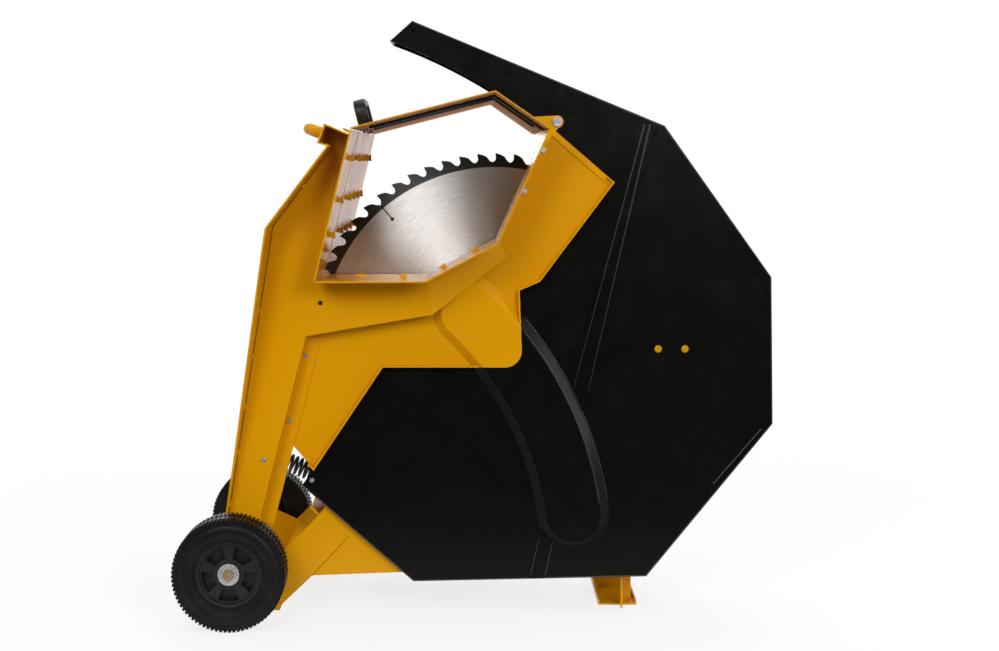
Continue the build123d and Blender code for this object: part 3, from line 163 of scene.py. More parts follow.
bpy.ops.mesh.primitive_plane_add(size=FLOOR_SIZE)
floor = bpy.context.object
floor.name = "studio_floor"
floor_paper = bpy.data.materials.new("studio_paper")
floor_paper.use_nodes = True
tree = floor_paper.node_tree
tree.nodes.clear()
in_camera, seen = looked_at(tree)
place = tree.nodes.new("ShaderNodeTexCoord").outputs["Object"]
from_saw = vector_maths(tree, "LENGTH", place)
fade = ranged(tree, from_saw, FADE_START, FADE_END, PAPER_GLOW, curve="SMOOTHSTEP")
depth = add_node(tree, "ShaderNodeSeparateXYZ", Vector=place).outputs["Y"]
on_paper = ranged(tree, depth, PAPER_FRONT, PAPER_WHOLE)
mirror_glow = maths(tree, "MULTIPLY", on_paper, fade)
off_paper = maths(tree, "SUBTRACT", 1.0, on_paper)
camera_glow = maths(tree, "MULTIPLY", maths(tree, "MAXIMUM", fade, off_paper), in_camera)
glow_share = maths(tree, "MULTIPLY", seen, maths(tree, "MAXIMUM", mirror_glow, camera_glow))
pale = maths(tree, "MAXIMUM", on_paper, in_camera)
paper = add_node(tree, "ShaderNodeBsdfDiffuse", Color=mixed(tree, pale, STUDIO_DARK, PAPER_GREY))
glow = add_node(tree, "ShaderNodeEmission", Color=WHITE, Strength=1.0)
blend = tree.nodes.new("ShaderNodeMixShader")
for socket, value in zip(blend.inputs, (glow_share, paper.outputs[0], glow.outputs[0])):
    feed(tree, socket, value)
add_node(tree, "ShaderNodeOutputMaterial", Surface=blend.outputs[0])
floor.data.materials.append(floor_paper)

ROOM_LIGHT = 0.5
GAP_LIGHT = 0.05
GAP_START = -0.65
GAP_END = -0.1
world = bpy.data.worlds.new("studio_room")
scene.world = world
world.use_nodes = True
tree = world.node_tree
tree.nodes.clear()
in_camera, seen = looked_at(tree)
direction = tree.nodes.new("ShaderNodeTexCoord").outputs["Generated"]
depth = add_node(tree, "ShaderNodeSeparateXYZ", Vector=direction).outputs["Y"]
gap = ranged(tree, depth, GAP_START, GAP_END, GAP_LIGHT)
white_room = maths(tree, "MAXIMUM", gap, in_camera)
room = add_node(tree, "ShaderNodeBackground", Color=WHITE,
                Strength=mixed(tree, seen, ROOM_LIGHT, white_room, kind="FLOAT"))
add_node(tree, "ShaderNodeOutputWorld", Surface=room.outputs[0])

LAMP_AIM = Vector((0, 0, 0.5))
LAMPS = [
    ("key_lamp", (-1.1, -3.2, 2.05), 1.2, 40),
    ("fill_lamp", (1.3, -3.2, 1.6), 0.9, 38),
    ("side_lamp", (2.9, -0.4, 1.3), 1.4, 22),
    ("top_lamp", (0.2, 0.5, 3.2), 1.8, 26),
    ("back_lamp", (-0.8, 2.6, 1.8), 1.8, 24),
]
for lamp_name, lamp_place, size, watts in LAMPS:
    lamp = bpy.data.lights.new(lamp_name, "AREA")
    lamp.size = size
    lamp.energy = watts
    holder = bpy.data.objects.new(lamp_name, lamp)
    holder.location = lamp_place
    holder.rotation_euler = (LAMP_AIM - Vector(lamp_place)).to_track_quat("-Z", "Y").to_euler()
    scene.collection.objects.link(holder)


# Painted pieces: sheet steel, washed and sprayed, with a fine orange-peel skin and faint uneven tone. Yellow
# goes on the frame, arms, trough and lid, whose weathered sheet is duller; the guard is sprayed satin black,
# and the motor's castings grey.
def skin_group(name, **inputs):
    """Empty shader group with named inputs that puts out a colour, a roughness and a height."""
    group = bpy.data.node_groups.new(name, "ShaderNodeTree")
    for key, value in inputs.items():
        kind = "NodeSocketColor" if isinstance(value, tuple) else "NodeSocketFloat"
        socket = group.interface.new_socket(key.replace("_", " "), in_out="INPUT", socket_type=kind)
        socket.default_value = value
    for label, kind in (("Colour", "Color"), ("Roughness", "Float"), ("Height", "Float")):
        group.interface.new_socket(label, in_out="OUTPUT", socket_type="NodeSocket" + kind)
    given = group.nodes.new("NodeGroupInput").outputs
    made = group.nodes.new("NodeGroupOutput").inputs
    return group, given, made


def noise(tree, place, **feeds):
    """Noise at each place."""
    return add_node(tree, "ShaderNodeTexNoise", Vector=place, **feeds).outputs["Fac"]


NOISE_LOW = 0.3
NOISE_HIGH = 0.7
GRIME = (0.35, 0.33, 0.3, 1)
SAWDUST = (0.42, 0.38, 0.31, 1)
DUST_START = 0.52
DUST_FULL = 0.82


def sprayed_skin_group():
    """Tone drift, gloss drift and orange peel of sprayed paint, on object coordinates."""
    group, given, made = skin_group("sprayed_skin", Colour=(0.5, 0.5, 0.5, 1), Drift=0.1, Gloss_Low=0.2,
                                    Gloss_High=0.35, Peel=420.0, Dust=0.05)
    place = group.nodes.new("ShaderNodeTexCoord").outputs["Object"]
    broad = noise(group, place, Scale=4.5, Detail=4.0, Roughness=0.55)
    fine = noise(group, place, Scale=given["Peel"], Detail=2.0, Roughness=0.5)
    smear = noise(group, place, Scale=17.0, Detail=5.0, Roughness=0.65)
    drift = maths(group, "MULTIPLY", broad, given["Drift"])
    darker = mixed(group, drift, given["Colour"], GRIME, blend="MULTIPLY")
    dust = maths(group, "MULTIPLY", ranged(group, smear, DUST_START, DUST_FULL), given["Dust"])
    gloss = ranged(group, smear, NOISE_LOW, NOISE_HIGH, given["Gloss Low"], given["Gloss High"])
    feed(group, made["Colour"], mixed(group, dust, darker, SAWDUST))
    feed(group, made["Roughness"], gloss)
    feed(group, made["Height"], fine)
    return group


SPRAYED_SKIN = sprayed_skin_group()


def surface(name, group, values, bump=0.1, distance=0.0004, **sockets):
    """Principled material whose colour, roughness and bump come from a group."""
    finish = bpy.data.materials.new(name)
    finish.use_nodes = True
    tree = finish.node_tree
    skin = tree.nodes["Principled BSDF"]
    for key, value in sockets.items():
        skin.inputs[key.replace("_", " ")].default_value = value
    pattern = tree.nodes.new("ShaderNodeGroup")
    pattern.node_tree = group
    for key, value in values.items():
        pattern.inputs[key].default_value = value
    relief = add_node(tree, "ShaderNodeBump", Strength=bump, Distance=distance,
                      Height=pattern.outputs["Height"])
    feed(tree, skin.inputs["Base Color"], pattern.outputs["Colour"])
    feed(tree, skin.inputs["Roughness"], pattern.outputs["Roughness"])
    feed(tree, skin.inputs["Normal"], relief.outputs["Normal"])
    return finish


def coat(slot, finish):
    """Puts a finish on every CAD piece of a material slot."""
    for part in frame["record"]["subparts"]:
        if part["material_slot"] == slot:
            skins = frame["nodes"][part["node"]].data.materials
            skins.clear()
            skins.append(finish)


YELLOW = (0.69, 0.315, 0.001, 1)
# Dark brown painted shade for the open joints.
JOINT_SHADE = (0.13, 0.055, 0.002, 1)
BLACK = (0.004, 0.004, 0.0036, 1)
# A lighter black for the guard's folds, a painted highlight.
HIGHLIGHT_BLACK = (0.02, 0.018, 0.015, 1)
MOTOR_GREY = (0.13, 0.14, 0.15, 1)
finishes = {
    "yellow_paint": surface(
        "yellow_paint", SPRAYED_SKIN,
        {"Colour": YELLOW, "Drift": 0.08, "Gloss Low": 0.17, "Gloss High": 0.28, "Peel": 380.0, "Dust": 0.02},
        bump=0.06, Specular_IOR_Level=0.11),
    "black_paint": surface(
        "black_paint", SPRAYED_SKIN,
        {"Colour": BLACK, "Drift": 0.3, "Gloss Low": 0.2, "Gloss High": 0.3, "Peel": 430.0, "Dust": 0.005},
        bump=0.07, Specular_IOR_Level=0.1),
    # Lighter, glossier black for the guard's fold beads: a painted highlight along the folds.
    "guard_fold_highlight": surface(
        "guard_fold_highlight", SPRAYED_SKIN,
        {"Colour": HIGHLIGHT_BLACK, "Drift": 0.2, "Gloss Low": 0.25, "Gloss High": 0.35, "Peel": 430.0,
         "Dust": 0.0},
        bump=0.03, Specular_IOR_Level=0.7),
    "lid_paint": surface(
        "lid_paint", SPRAYED_SKIN,
        {"Colour": YELLOW, "Drift": 0.35, "Gloss Low": 0.5, "Gloss High": 0.7, "Peel": 380.0, "Dust": 0.15},
        bump=0.06, Specular_IOR_Level=0.08),
    # Dark brown for the joint lines: painted shade in the open joints.
    "joint_shade": surface(
        "joint_shade", SPRAYED_SKIN,
        {"Colour": JOINT_SHADE, "Drift": 0.3, "Gloss Low": 0.5, "Gloss High": 0.7, "Peel": 380.0, "Dust": 0.0},
        bump=0.05, Specular_IOR_Level=0.05),
    "motor_grey": surface(
        "motor_grey", SPRAYED_SKIN,
        {"Colour": MOTOR_GREY, "Drift": 0.25, "Gloss Low": 0.4, "Gloss High": 0.6, "Peel": 600.0, "Dust": 0.12},
        bump=0.3),
}
for slot in ("yellow_paint", "black_paint", "motor_grey"):
    coat(slot, finishes[slot])
lid_skins = frame["nodes"]["lid_sheet"].data.materials
lid_skins.clear()
lid_skins.append(finishes["lid_paint"])

# Moulded pieces: rims, grips, switch box and cowl are moulded black plastic with a fine grain, the buttons
# are coloured plastic, and the tyres are solid rubber with a dull, slightly dusty skin.
SCUFF_START = 0.5
SCUFF_FULL = 0.8


def moulded_grain_group():
    """Fine moulding grain with lighter scuffed patches."""
    group, given, made = skin_group("moulded_grain", Colour=(0.02, 0.02, 0.02, 1),
                                    Scuff_Colour=(0.1, 0.1, 0.1, 1), Scuff=0.3, Grain=900.0,
                                    Gloss_Low=0.45, Gloss_High=0.7)
    place = group.nodes.new("ShaderNodeTexCoord").outputs["Object"]
    grain = noise(group, place, Scale=given["Grain"], Detail=3.0, Roughness=0.6)
    patch = noise(group, place, Scale=26.0, Detail=5.0, Roughness=0.7)
    scuff = maths(group, "MULTIPLY", ranged(group, patch, SCUFF_START, SCUFF_FULL), given["Scuff"])
    gloss = ranged(group, patch, NOISE_LOW, NOISE_HIGH, given["Gloss Low"], given["Gloss High"])
    feed(group, made["Colour"], mixed(group, scuff, given["Colour"], given["Scuff Colour"]))
    feed(group, made["Roughness"], gloss)
    feed(group, made["Height"], grain)
    return group


MOULDED_GRAIN = moulded_grain_group()
finishes["black_plastic"] = surface(
    "black_plastic", MOULDED_GRAIN,
    {"Colour": (0.009, 0.009, 0.009, 1), "Scuff Colour": (0.04, 0.04, 0.04, 1), "Scuff": 0.4, "Grain": 1100.0,
     "Gloss Low": 0.3, "Gloss High": 0.45}, bump=0.2, Specular_IOR_Level=0.3)
finishes["tyre_rubber"] = surface(
    "tyre_rubber", MOULDED_GRAIN,
    {"Colour": (0.004, 0.004, 0.0039, 1), "Scuff Colour": (0.03, 0.028, 0.026, 1), "Scuff": 0.35,
     "Grain": 500.0, "Gloss Low": 0.36, "Gloss High": 0.5}, bump=0.25, Specular_IOR_Level=0.18)
finishes["button_green"] = surface(
    "button_green", MOULDED_GRAIN,
    {"Colour": (0.02, 0.3, 0.05, 1), "Scuff Colour": (0.06, 0.36, 0.1, 1), "Scuff": 0.4, "Grain": 1400.0,
     "Gloss Low": 0.2, "Gloss High": 0.32}, bump=0.08)
finishes["button_red"] = surface(
    "button_red", MOULDED_GRAIN,
    {"Colour": (0.5, 0.015, 0.015, 1), "Scuff Colour": (0.6, 0.06, 0.05, 1), "Scuff": 0.4, "Grain": 1400.0,
     "Gloss Low": 0.2, "Gloss High": 0.32}, bump=0.08)
for slot in ("black_plastic", "tyre_rubber", "button_green", "button_red"):
    coat(slot, finishes[slot])


# Plated pieces: bolts, washers and clips are bright zinc with a faint crystal mottle; the axle and its
# bushes have the warmer yellow passivation; the spring is dark oiled wire.
def plated_mottle_group():
    """Crystal mottle of plated steel."""
    group, given, made = skin_group("plated_mottle", Colour=(0.6, 0.6, 0.6, 1), Shade=(0.4, 0.4, 0.4, 1),
                                    Crystal=260.0, Gloss_Low=0.22, Gloss_High=0.42)
    place = group.nodes.new("ShaderNodeTexCoord").outputs["Object"]
    crystal = add_node(group, "ShaderNodeTexVoronoi", Vector=place, Scale=given["Crystal"])
    smear = noise(group, place, Scale=90.0, Detail=4.0, Roughness=0.6)
    gloss = ranged(group, smear, NOISE_LOW, NOISE_HIGH, given["Gloss Low"], given["Gloss High"])
    feed(group, made["Colour"], mixed(group, crystal.outputs["Distance"], given["Colour"], given["Shade"]))
    feed(group, made["Roughness"], gloss)
    feed(group, made["Height"], smear)
    return group


PLATED_MOTTLE = plated_mottle_group()
finishes["zinc"] = surface(
    "zinc", PLATED_MOTTLE, {"Colour": (0.62, 0.62, 0.63, 1), "Shade": (0.36, 0.36, 0.37, 1)},
    bump=0.05, Metallic=0.6)
finishes["yellow_zinc"] = surface(
    "yellow_zinc", PLATED_MOTTLE, {"Colour": (0.46, 0.34, 0.17, 1), "Shade": (0.26, 0.2, 0.11, 1)},
    bump=0.05, Metallic=0.75)
finishes["spring_steel"] = surface(
    "spring_steel", PLATED_MOTTLE,
    {"Colour": (0.06, 0.06, 0.062, 1), "Shade": (0.035, 0.033, 0.03, 1), "Gloss Low": 0.3, "Gloss High": 0.5},
    bump=0.08, Metallic=0.85)
for slot in ("zinc", "yellow_zinc", "spring_steel"):
    coat(slot, finishes[slot])

# Blade: a toothed disc of tool steel, ground flat on both sides, with fine circular scratches that streak
# its sheen, and a darker hardened band along the teeth. It is clamped on the arbor between two flanges.
blade_low, blade_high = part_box("saw_blade")
shaft_low, shaft_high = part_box("arbor_shaft")
BLADE_RADIUS = (blade_high[0] - blade_low[0]) / 2
ARBOR_X = (shaft_low[0] + shaft_high[0]) / 2
ARBOR_Z = (shaft_low[2] + shaft_high[2]) / 2
DARK_BAND = 0.027
RINGS_PER_METRE = 900.0
STREAK_STRETCH = (700.0, 9.0, 1.0)
STREAK_DARK = 0.8
STREAK_LIGHT = 1.12
GROUND_GLOSS = (0.32, 0.42)


def from_arbor(tree):
    """Object coordinates, and the flat vector from the arbor's line to each place."""
    place = tree.nodes.new("ShaderNodeTexCoord").outputs["Object"]
    centred = add_node(tree, "ShaderNodeMapping", Vector=place, Location=(-ARBOR_X, 0, -ARBOR_Z))
    return place, vector_maths(tree, "MULTIPLY", centred.outputs["Vector"], (1, 0, 1))


def ground_disc_group():
    """Grinding rings round the arbor, cloudy reflections and a dark band towards the teeth."""
    group, given, made = skin_group("ground_disc", Plate=(0.66, 0.645, 0.635, 1),
                                    Band=(0.055, 0.053, 0.05, 1), Band_Start=BLADE_RADIUS - DARK_BAND,
                                    Band_Width=0.0015)
    place, flat = from_arbor(group)
    radius = vector_maths(group, "LENGTH", flat)
    sides = add_node(group, "ShaderNodeSeparateXYZ", Vector=flat).outputs
    angle = maths(group, "ARCTAN2", sides["Z"], sides["X"])
    unrolled = add_node(group, "ShaderNodeCombineXYZ", X=radius, Y=angle).outputs["Vector"]
    stretched = vector_maths(group, "MULTIPLY", unrolled, STREAK_STRETCH)
    streaks = noise(group, stretched, Scale=1.0, Detail=3.0, Roughness=0.6)
    tone = ranged(group, streaks, NOISE_LOW, NOISE_HIGH, STREAK_DARK, STREAK_LIGHT)
    plate = vector_maths(group, "SCALE", given["Plate"], tone)
    past_start = maths(group, "SUBTRACT", radius, given["Band Start"])
    in_band = maths(group, "DIVIDE", past_start, given["Band Width"])
    in_band.node.use_clamp = True
    cloud = noise(group, place, Scale=9.0, Detail=6.0, Roughness=0.62)
    rings = group.nodes.new("ShaderNodeTexNoise")
    rings.noise_dimensions = "1D"
    for key, value in (("W", radius), ("Scale", RINGS_PER_METRE), ("Detail", 3.0)):
        feed(group, rings.inputs[key], value)
    feed(group, made["Colour"], mixed(group, in_band, plate, given["Band"]))
    feed(group, made["Roughness"], ranged(group, cloud, 0.0, 1.0, *GROUND_GLOSS))
    feed(group, made["Height"], rings.outputs["Fac"])
    return group


finishes["blade_steel"] = surface("blade_steel", ground_disc_group(), {}, bump=0.12, distance=0.0002,
                                  Metallic=1.0, Anisotropic=0.96)
blade_tree = finishes["blade_steel"].node_tree
feed(blade_tree, blade_tree.nodes["Principled BSDF"].inputs["Tangent"], from_arbor(blade_tree)[1])
coat("blade_steel", finishes["blade_steel"])


# Axle ends: a split pin of zinc wire goes through the axle in front of each clip, its eye on one side and
# its two legs bent apart on the other.
def dressed(name, mesh, finish, smooth):
    """Object round a finished mesh, with its normals outward and one material."""
    shell = bmesh.new()
    shell.from_mesh(mesh)
    bmesh.ops.recalc_face_normals(shell, faces=shell.faces)
    shell.to_mesh(mesh)
    shell.free()
    piece = bpy.data.objects.new(name, mesh)
    scene.collection.objects.link(piece)
    mesh.materials.clear()
    mesh.materials.append(finish)
    for face in mesh.polygons:
        face.use_smooth = smooth
    return piece


def round_wire(name, strands, radius, finish, roundness=3):
    """Round wire or bead through each list of places in millimetres, as one mesh; a fourth value thins it."""
    wire = bpy.data.curves.new(name + "_wire", "CURVE")
    wire.dimensions = "3D"
    wire.bevel_depth = radius / 1000
    wire.bevel_resolution = roundness
    wire.use_fill_caps = True
    for places in strands:
        strand = wire.splines.new("POLY")
        strand.points.add(len(places) - 1)
        for control, place in zip(strand.points, places):
            control.co = (*spot(*place[:3]), 1)
            control.radius = place[3] if len(place) > 3 else 1.0
    holder = bpy.data.objects.new(name + "_wire", wire)
    scene.collection.objects.link(holder)
    bpy.context.view_layer.update()
    shown = holder.evaluated_get(bpy.context.evaluated_depsgraph_get())
    mesh = bpy.data.meshes.new_from_object(shown)
    bpy.data.objects.remove(holder)
    return dressed(name, mesh, finish, True)


AXLE_HEIGHT = 100.0
PIN_DEPTHS = {"split_pin_near": 1.6, "split_pin_far": 504.4}
PIN_WIRE = 1.1
PIN_REACH = 12.5
PIN_EYE = 3.0
EYE_STEPS = 16
SHANK_RISE = 0.4
UPPER_LEG = [(2, 0.4), (-1, 3), (-2, 6.5)]
LOWER_LEG = [(2, -0.2), (-1, -3), (-2, -6)]
eye_turns = [2 * pi * k / EYE_STEPS for k in range(EYE_STEPS + 1)]
for pin_name, pin_y in PIN_DEPTHS.items():
    eye = [(PIN_REACH + PIN_EYE - PIN_EYE * cos(turn), pin_y, AXLE_HEIGHT + PIN_EYE * sin(turn))
           for turn in eye_turns]
    shank = [(side * PIN_REACH, pin_y, AXLE_HEIGHT + SHANK_RISE) for side in (-1, 1)]
    legs = [[(x - PIN_REACH, pin_y, AXLE_HEIGHT + z) for x, z in leg] for leg in (UPPER_LEG, LOWER_LEG)]
    pin = round_wire(pin_name, [eye, shank] + legs, PIN_WIRE, finishes["zinc"])
    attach(pin, "frame")

# Frame plate seam: the near side plate is welded up from two sheets. A thin dark line of painted shade
# runs along the joint.
SEAM_LINE = [(201, 140, 136), (133, 140, 63.5)]
SEAM_WIDTH = 0.45
frame_seam = round_wire("frame_seam", [SEAM_LINE], SEAM_WIDTH, finishes["joint_shade"])
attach(frame_seam, "frame")


# Tyre sidewalls: the solid rubber tyre has a rounded bulge on its outer side, moulded in one with it, and a
# small step where it meets the rim.
def lathed(name, profile, centre, finish, steps=96):
    """Closed profile of (radius, depth) turned about a line across the saw through a centre."""
    count = len(profile)
    verts = []
    faces = []
    for i in range(steps):
        turn = 2 * pi * i / steps
        for radius, y in profile:
            verts.append(spot(centre[0] + radius * cos(turn), y, centre[1] + radius * sin(turn)))
    for i in range(steps):
        after = (i + 1) % steps
        for k in range(count):
            beside = (k + 1) % count
            faces.append((i * count + k, i * count + beside, after * count + beside, after * count + k))
    mesh = bpy.data.meshes.new(name)
    mesh.from_pydata(verts, [], faces)
    return dressed(name, mesh, finish, True)


BULGE = [(62.0, 1.0), (62.4, -0.8), (63.6, -1.6), (65.4, -1.7), (66.6, -0.9), (68.0, -1.6), (72.0, -2.9),
         (77.0, -3.4), (82.0, -2.9), (86.0, -1.5), (88.5, 0.2), (88.5, 1.0)]
TYRE_SIDES = [("near", 0.0, 1), ("far", 506.0, -1)]
for side, side_y, inward in TYRE_SIDES:
    bulge_profile = [(radius, side_y + inward * depth) for radius, depth in BULGE]
    bulge = lathed("tyre_bulge_" + side, bulge_profile, (0.0, AXLE_HEIGHT), finishes["tyre_rubber"])
    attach(bulge, "wheel_" + side)


# Blade slots: four relief slots are cut into the blade near its edge, each ending in a small hole. They are
# filled with dark damping resin that is poured in and stays a hair below the ground faces.
def extruded(name, outlines, near, far, finish):
    """Flat outlines of (x, z) given a thickness from near to far, as one mesh."""
    verts = []
    faces = []
    for outline in outlines:
        start = len(verts)
        count = len(outline)
        verts += [spot(x, near, z) for x, z in outline] + [spot(x, far, z) for x, z in outline]
        faces.append([start + k for k in range(count)])
        faces.append([start + count + k for k in reversed(range(count))])
        for k in range(count):
            beside = (k + 1) % count
            faces.append([start + k, start + beside, start + count + beside, start + count + k])
    mesh = bpy.data.meshes.new(name)
    mesh.from_pydata(verts, [], faces)
    return dressed(name, mesh, finish, False)


TEETH = 64
SLOT_COUNT = 4
SLOT_TOOTH = 8.82
SLOT_ANGLE = 180 - SLOT_TOOTH * 360 / TEETH
SLOT_INNER = 297.0
SLOT_OUTER = 331.5
SLOT_HALF = 1.2
SLOT_HOLE = 3.4
SLOT_THROAT = 3.2
HOLE_ANGLES = range(-22, -352, -15)
RESIN_NEAR = 187.15
RESIN_FAR = 190.85
arbor_x = (ARBOR_X - AXLE_X) * 1000
arbor_z = ARBOR_Z * 1000
keyhole = [(SLOT_OUTER, SLOT_HALF), (SLOT_OUTER, -SLOT_HALF), (SLOT_INNER + SLOT_THROAT, -SLOT_HALF)]
keyhole += [(SLOT_INNER + SLOT_HOLE * cos(radians(angle)), SLOT_HOLE * sin(radians(angle)))
            for angle in HOLE_ANGLES]
keyhole.append((SLOT_INNER + SLOT_THROAT, SLOT_HALF))
fillings = []
for i in range(SLOT_COUNT):
    turn = radians(SLOT_ANGLE + i * 360 / SLOT_COUNT)
    fillings.append([(arbor_x + u * cos(turn) - v * sin(turn), arbor_z + u * sin(turn) + v * cos(turn))
                     for u, v in keyhole])
resin = extruded("slot_resin", fillings, RESIN_NEAR, RESIN_FAR, finishes["black_plastic"])
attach(resin, "blade")

# Near arm: the deep left lip is a strip of its own, tacked to the web. The open joint between them is a dark
# line of painted shade down the arm, with the painted tacks on it.
WEB_Y = 90
LIP_JOINT = [(174.9, 849.9), (67.5, 706.6), (-13.5, 178.5)]
JOINT_WIDTH = 0.7
lip_joint = round_wire("arm_lip_joint", [[(x, WEB_Y, z) for x, z in LIP_JOINT]], JOINT_WIDTH,
                       finishes["joint_shade"])
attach(lip_joint, "cradle")

TACKS = [(169.0, 842.0), (122.5, 780.0), (44.3, 555.0), (31.6, 472.6), (17.8, 382.5), (5.1, 300.0),
         (-9.3, 206.0)]
TACK_BEAD = [(-0.5, -0.6, -4.5), (0.0, -1.2, 0.0), (1.2, -0.6, 4.5)]
TACK_RADIUS = 2.2
beads = [[(x + bead_x, WEB_Y + bead_y, z + bead_z) for bead_x, bead_y, bead_z in TACK_BEAD] for x, z in TACKS]
tacks = round_wire("arm_tacks", beads, TACK_RADIUS, finishes["yellow_paint"])
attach(tacks, "cradle")

# End plate plug: a black rubber plug closes the hole below the trough's front corner. Its flange grips the
# plate from behind, and its face sits back in the hole.
PLUG_STEPS = 32
END_PLUG = [(0.6, 92.3), (3.0, 92.2), (4.3, 91.7), (4.4, 92.0), (4.4, 93.1), (6.5, 93.1), (6.5, 94.6),
            (0.6, 94.6)]
END_HOLE = (153.08, 569.0)
end_plug = lathed("end_plate_plug", END_PLUG, END_HOLE, finishes["black_plastic"], PLUG_STEPS)
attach(end_plug, "cradle")

# Guard folds: the black sheets have tight folds along their edges, the lapped seam and the hump, which catch
# the lamps' light. Their paint is a lighter, glossier black, a painted highlight along the folds.
GUARD_FACE = 126
LAP_FACE = 124
HUMP_FACE = 111
FOLD_RADIUS = 1.2
GUARD_EDGE = [(279, 1045.5), (318, 1080.3), (779, 888.5), (973.4, 612.6), (975.4, 345.6), (745.3, 67.6),
              (320.6, 58.6), (118, 232)]
LAP_FOLDS = [[(753, 893, 1.7), (640, 407, 0.5)], [(743, 893, 1.4), (612.5, 410, 0.4)],
             [(576.5, 138, 0.5), (561, 70, 0.9)], [(550, 138, 0.5), (534, 70, 0.8)]]
CORNER_FOLD = [(955.8, 335.4), (868, 234.8)]
HUMP_FOLDS = [(683.0, GUARD_FACE, 9, 40), (667.0, HUMP_FACE, 9, 38.5)]
HUMP_STEPS = 40


def hump_arc(radius, y, start, end):
    """Places along an arc round the axle."""
    turns = [radians(start + (end - start) * k / HUMP_STEPS) for k in range(HUMP_STEPS + 1)]
    return [(radius * cos(turn), y, AXLE_HEIGHT + radius * sin(turn)) for turn in turns]


fold_lines = [[(x, GUARD_FACE, z) for x, z in GUARD_EDGE]]
fold_lines += [[(x, LAP_FACE, z, width) for x, z, width in fold] for fold in LAP_FOLDS]
fold_lines.append([(x, GUARD_FACE, z) for x, z in CORNER_FOLD])
fold_lines += [hump_arc(*fold) for fold in HUMP_FOLDS]
folds = round_wire("guard_folds", fold_lines, FOLD_RADIUS, finishes["guard_fold_highlight"])
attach(folds, "cradle")

# Guard plugs: two yellow plugs, each with a drain hole, snap into the guard's peep holes from behind and
# leave their rounded faces just inside the sheet.
PLUG = [(0.8, 127.6), (3.4, 127.7), (5.4, 127.9), (6.2, 128.1), (9.5, 128.1), (9.5, 129.6), (0.8, 129.6)]
PEEP_HOLES = {"guard_plug_left": (768.0, 482.0), "guard_plug_right": (817.0, 482.0)}
for plug_name, hole in PEEP_HOLES.items():
    plug = lathed(plug_name, PLUG, hole, finishes["yellow_paint"], PLUG_STEPS)
    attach(plug, "cradle")

# Lid grip: a moulded black bow with a flat section and rounded edges. Its two feet stand on the lid's front
# strip and are bolted through it.
GRIP_SEAT = Vector((224.6, 0.0, 887.7))
GRIP_ALONG = Vector((0.969, 0.0, 0.246))
GRIP_UP = Vector((-0.246, 0.0, 0.969))
GRIP_NEAR = 243.0
GRIP_FAR = 357.0
GRIP_RISE = 50.0
GRIP_BEND = 17.0
BEND_STEPS = 8
GRIP_HALF_WIDTH = 11.5
GRIP_HALF_THICK = 7.0
GRIP_EDGE = 3.2
EDGE_STEPS = 3
CORNERS = [(1, 1), (-1, 1), (-1, -1), (1, -1)]
grip_line = [(GRIP_NEAR, 0.0, 0.0)]
for k in range(BEND_STEPS + 1):
    turn = pi / 2 * k / BEND_STEPS
    grip_line.append((GRIP_NEAR + GRIP_BEND * (1 - cos(turn)), GRIP_RISE - GRIP_BEND * (1 - sin(turn)), turn))
grip_line += [(GRIP_NEAR + GRIP_FAR - y, rise, pi - turn) for y, rise, turn in reversed(grip_line)]
section = []
for corner, (side, face) in enumerate(CORNERS):
    for k in range(EDGE_STEPS + 1):
        turn = pi / 2 * (corner + k / EDGE_STEPS)
        section.append((side * (GRIP_HALF_WIDTH - GRIP_EDGE) + GRIP_EDGE * cos(turn),
                        face * (GRIP_HALF_THICK - GRIP_EDGE) + GRIP_EDGE * sin(turn)))
verts = []
for y, rise, turn in grip_line:
    for across, out in section:
        place = GRIP_SEAT + GRIP_ALONG * across + GRIP_UP * (rise + out * sin(turn))
        verts.append(spot(place.x, y - out * cos(turn), place.z))
count = len(section)
faces = []
for start in range(0, len(verts) - count, count):
    for k in range(count):
        beside = (k + 1) % count
        faces.append((start + k, start + beside, start + count + beside, start + count + k))
faces.append(range(count))
faces.append(range(len(verts) - count, len(verts)))
grip_mesh = bpy.data.meshes.new("lid_grip")
grip_mesh.from_pydata(verts, [], faces)
grip = dressed("lid_grip", grip_mesh, finishes["black_plastic"], True)
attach(grip, "lid")
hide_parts("lid_handle")

# Lid shade strips: black strips under the lid, along both edges of the slot that the guard's nose needs.
# They close the gap to the guard, and their black is painted shade for the shaded underside of the lid.
SHADE_STRIP_TOP = [(240, 888.9), (468, 946.8), (545, 893.4)]
SHADE_STRIP_DROP = 5.0
SHADE_STRIP_WIDTH = 3.5
SHADE_STRIP_DEPTHS = {"lid_shade_strip_near": 113.0, "lid_shade_strip_far": 261.5}
shade_strip_line = SHADE_STRIP_TOP + [(x, z - SHADE_STRIP_DROP) for x, z in reversed(SHADE_STRIP_TOP)]
for shade_strip_name, shade_strip_y in SHADE_STRIP_DEPTHS.items():
    shade_strip = extruded(shade_strip_name, [shade_strip_line], shade_strip_y, shade_strip_y + SHADE_STRIP_WIDTH, finishes["black_plastic"])
    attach(shade_strip, "lid")

# Bolts and rivets: small zinc hexagon bolts on washers hold the side cover, the arm and the guard's tip.
# Blackened dome rivets tie the guard's corners to its edge strip.
WASHER_SIDES = 20
WASHER_HEIGHT = 0.0014


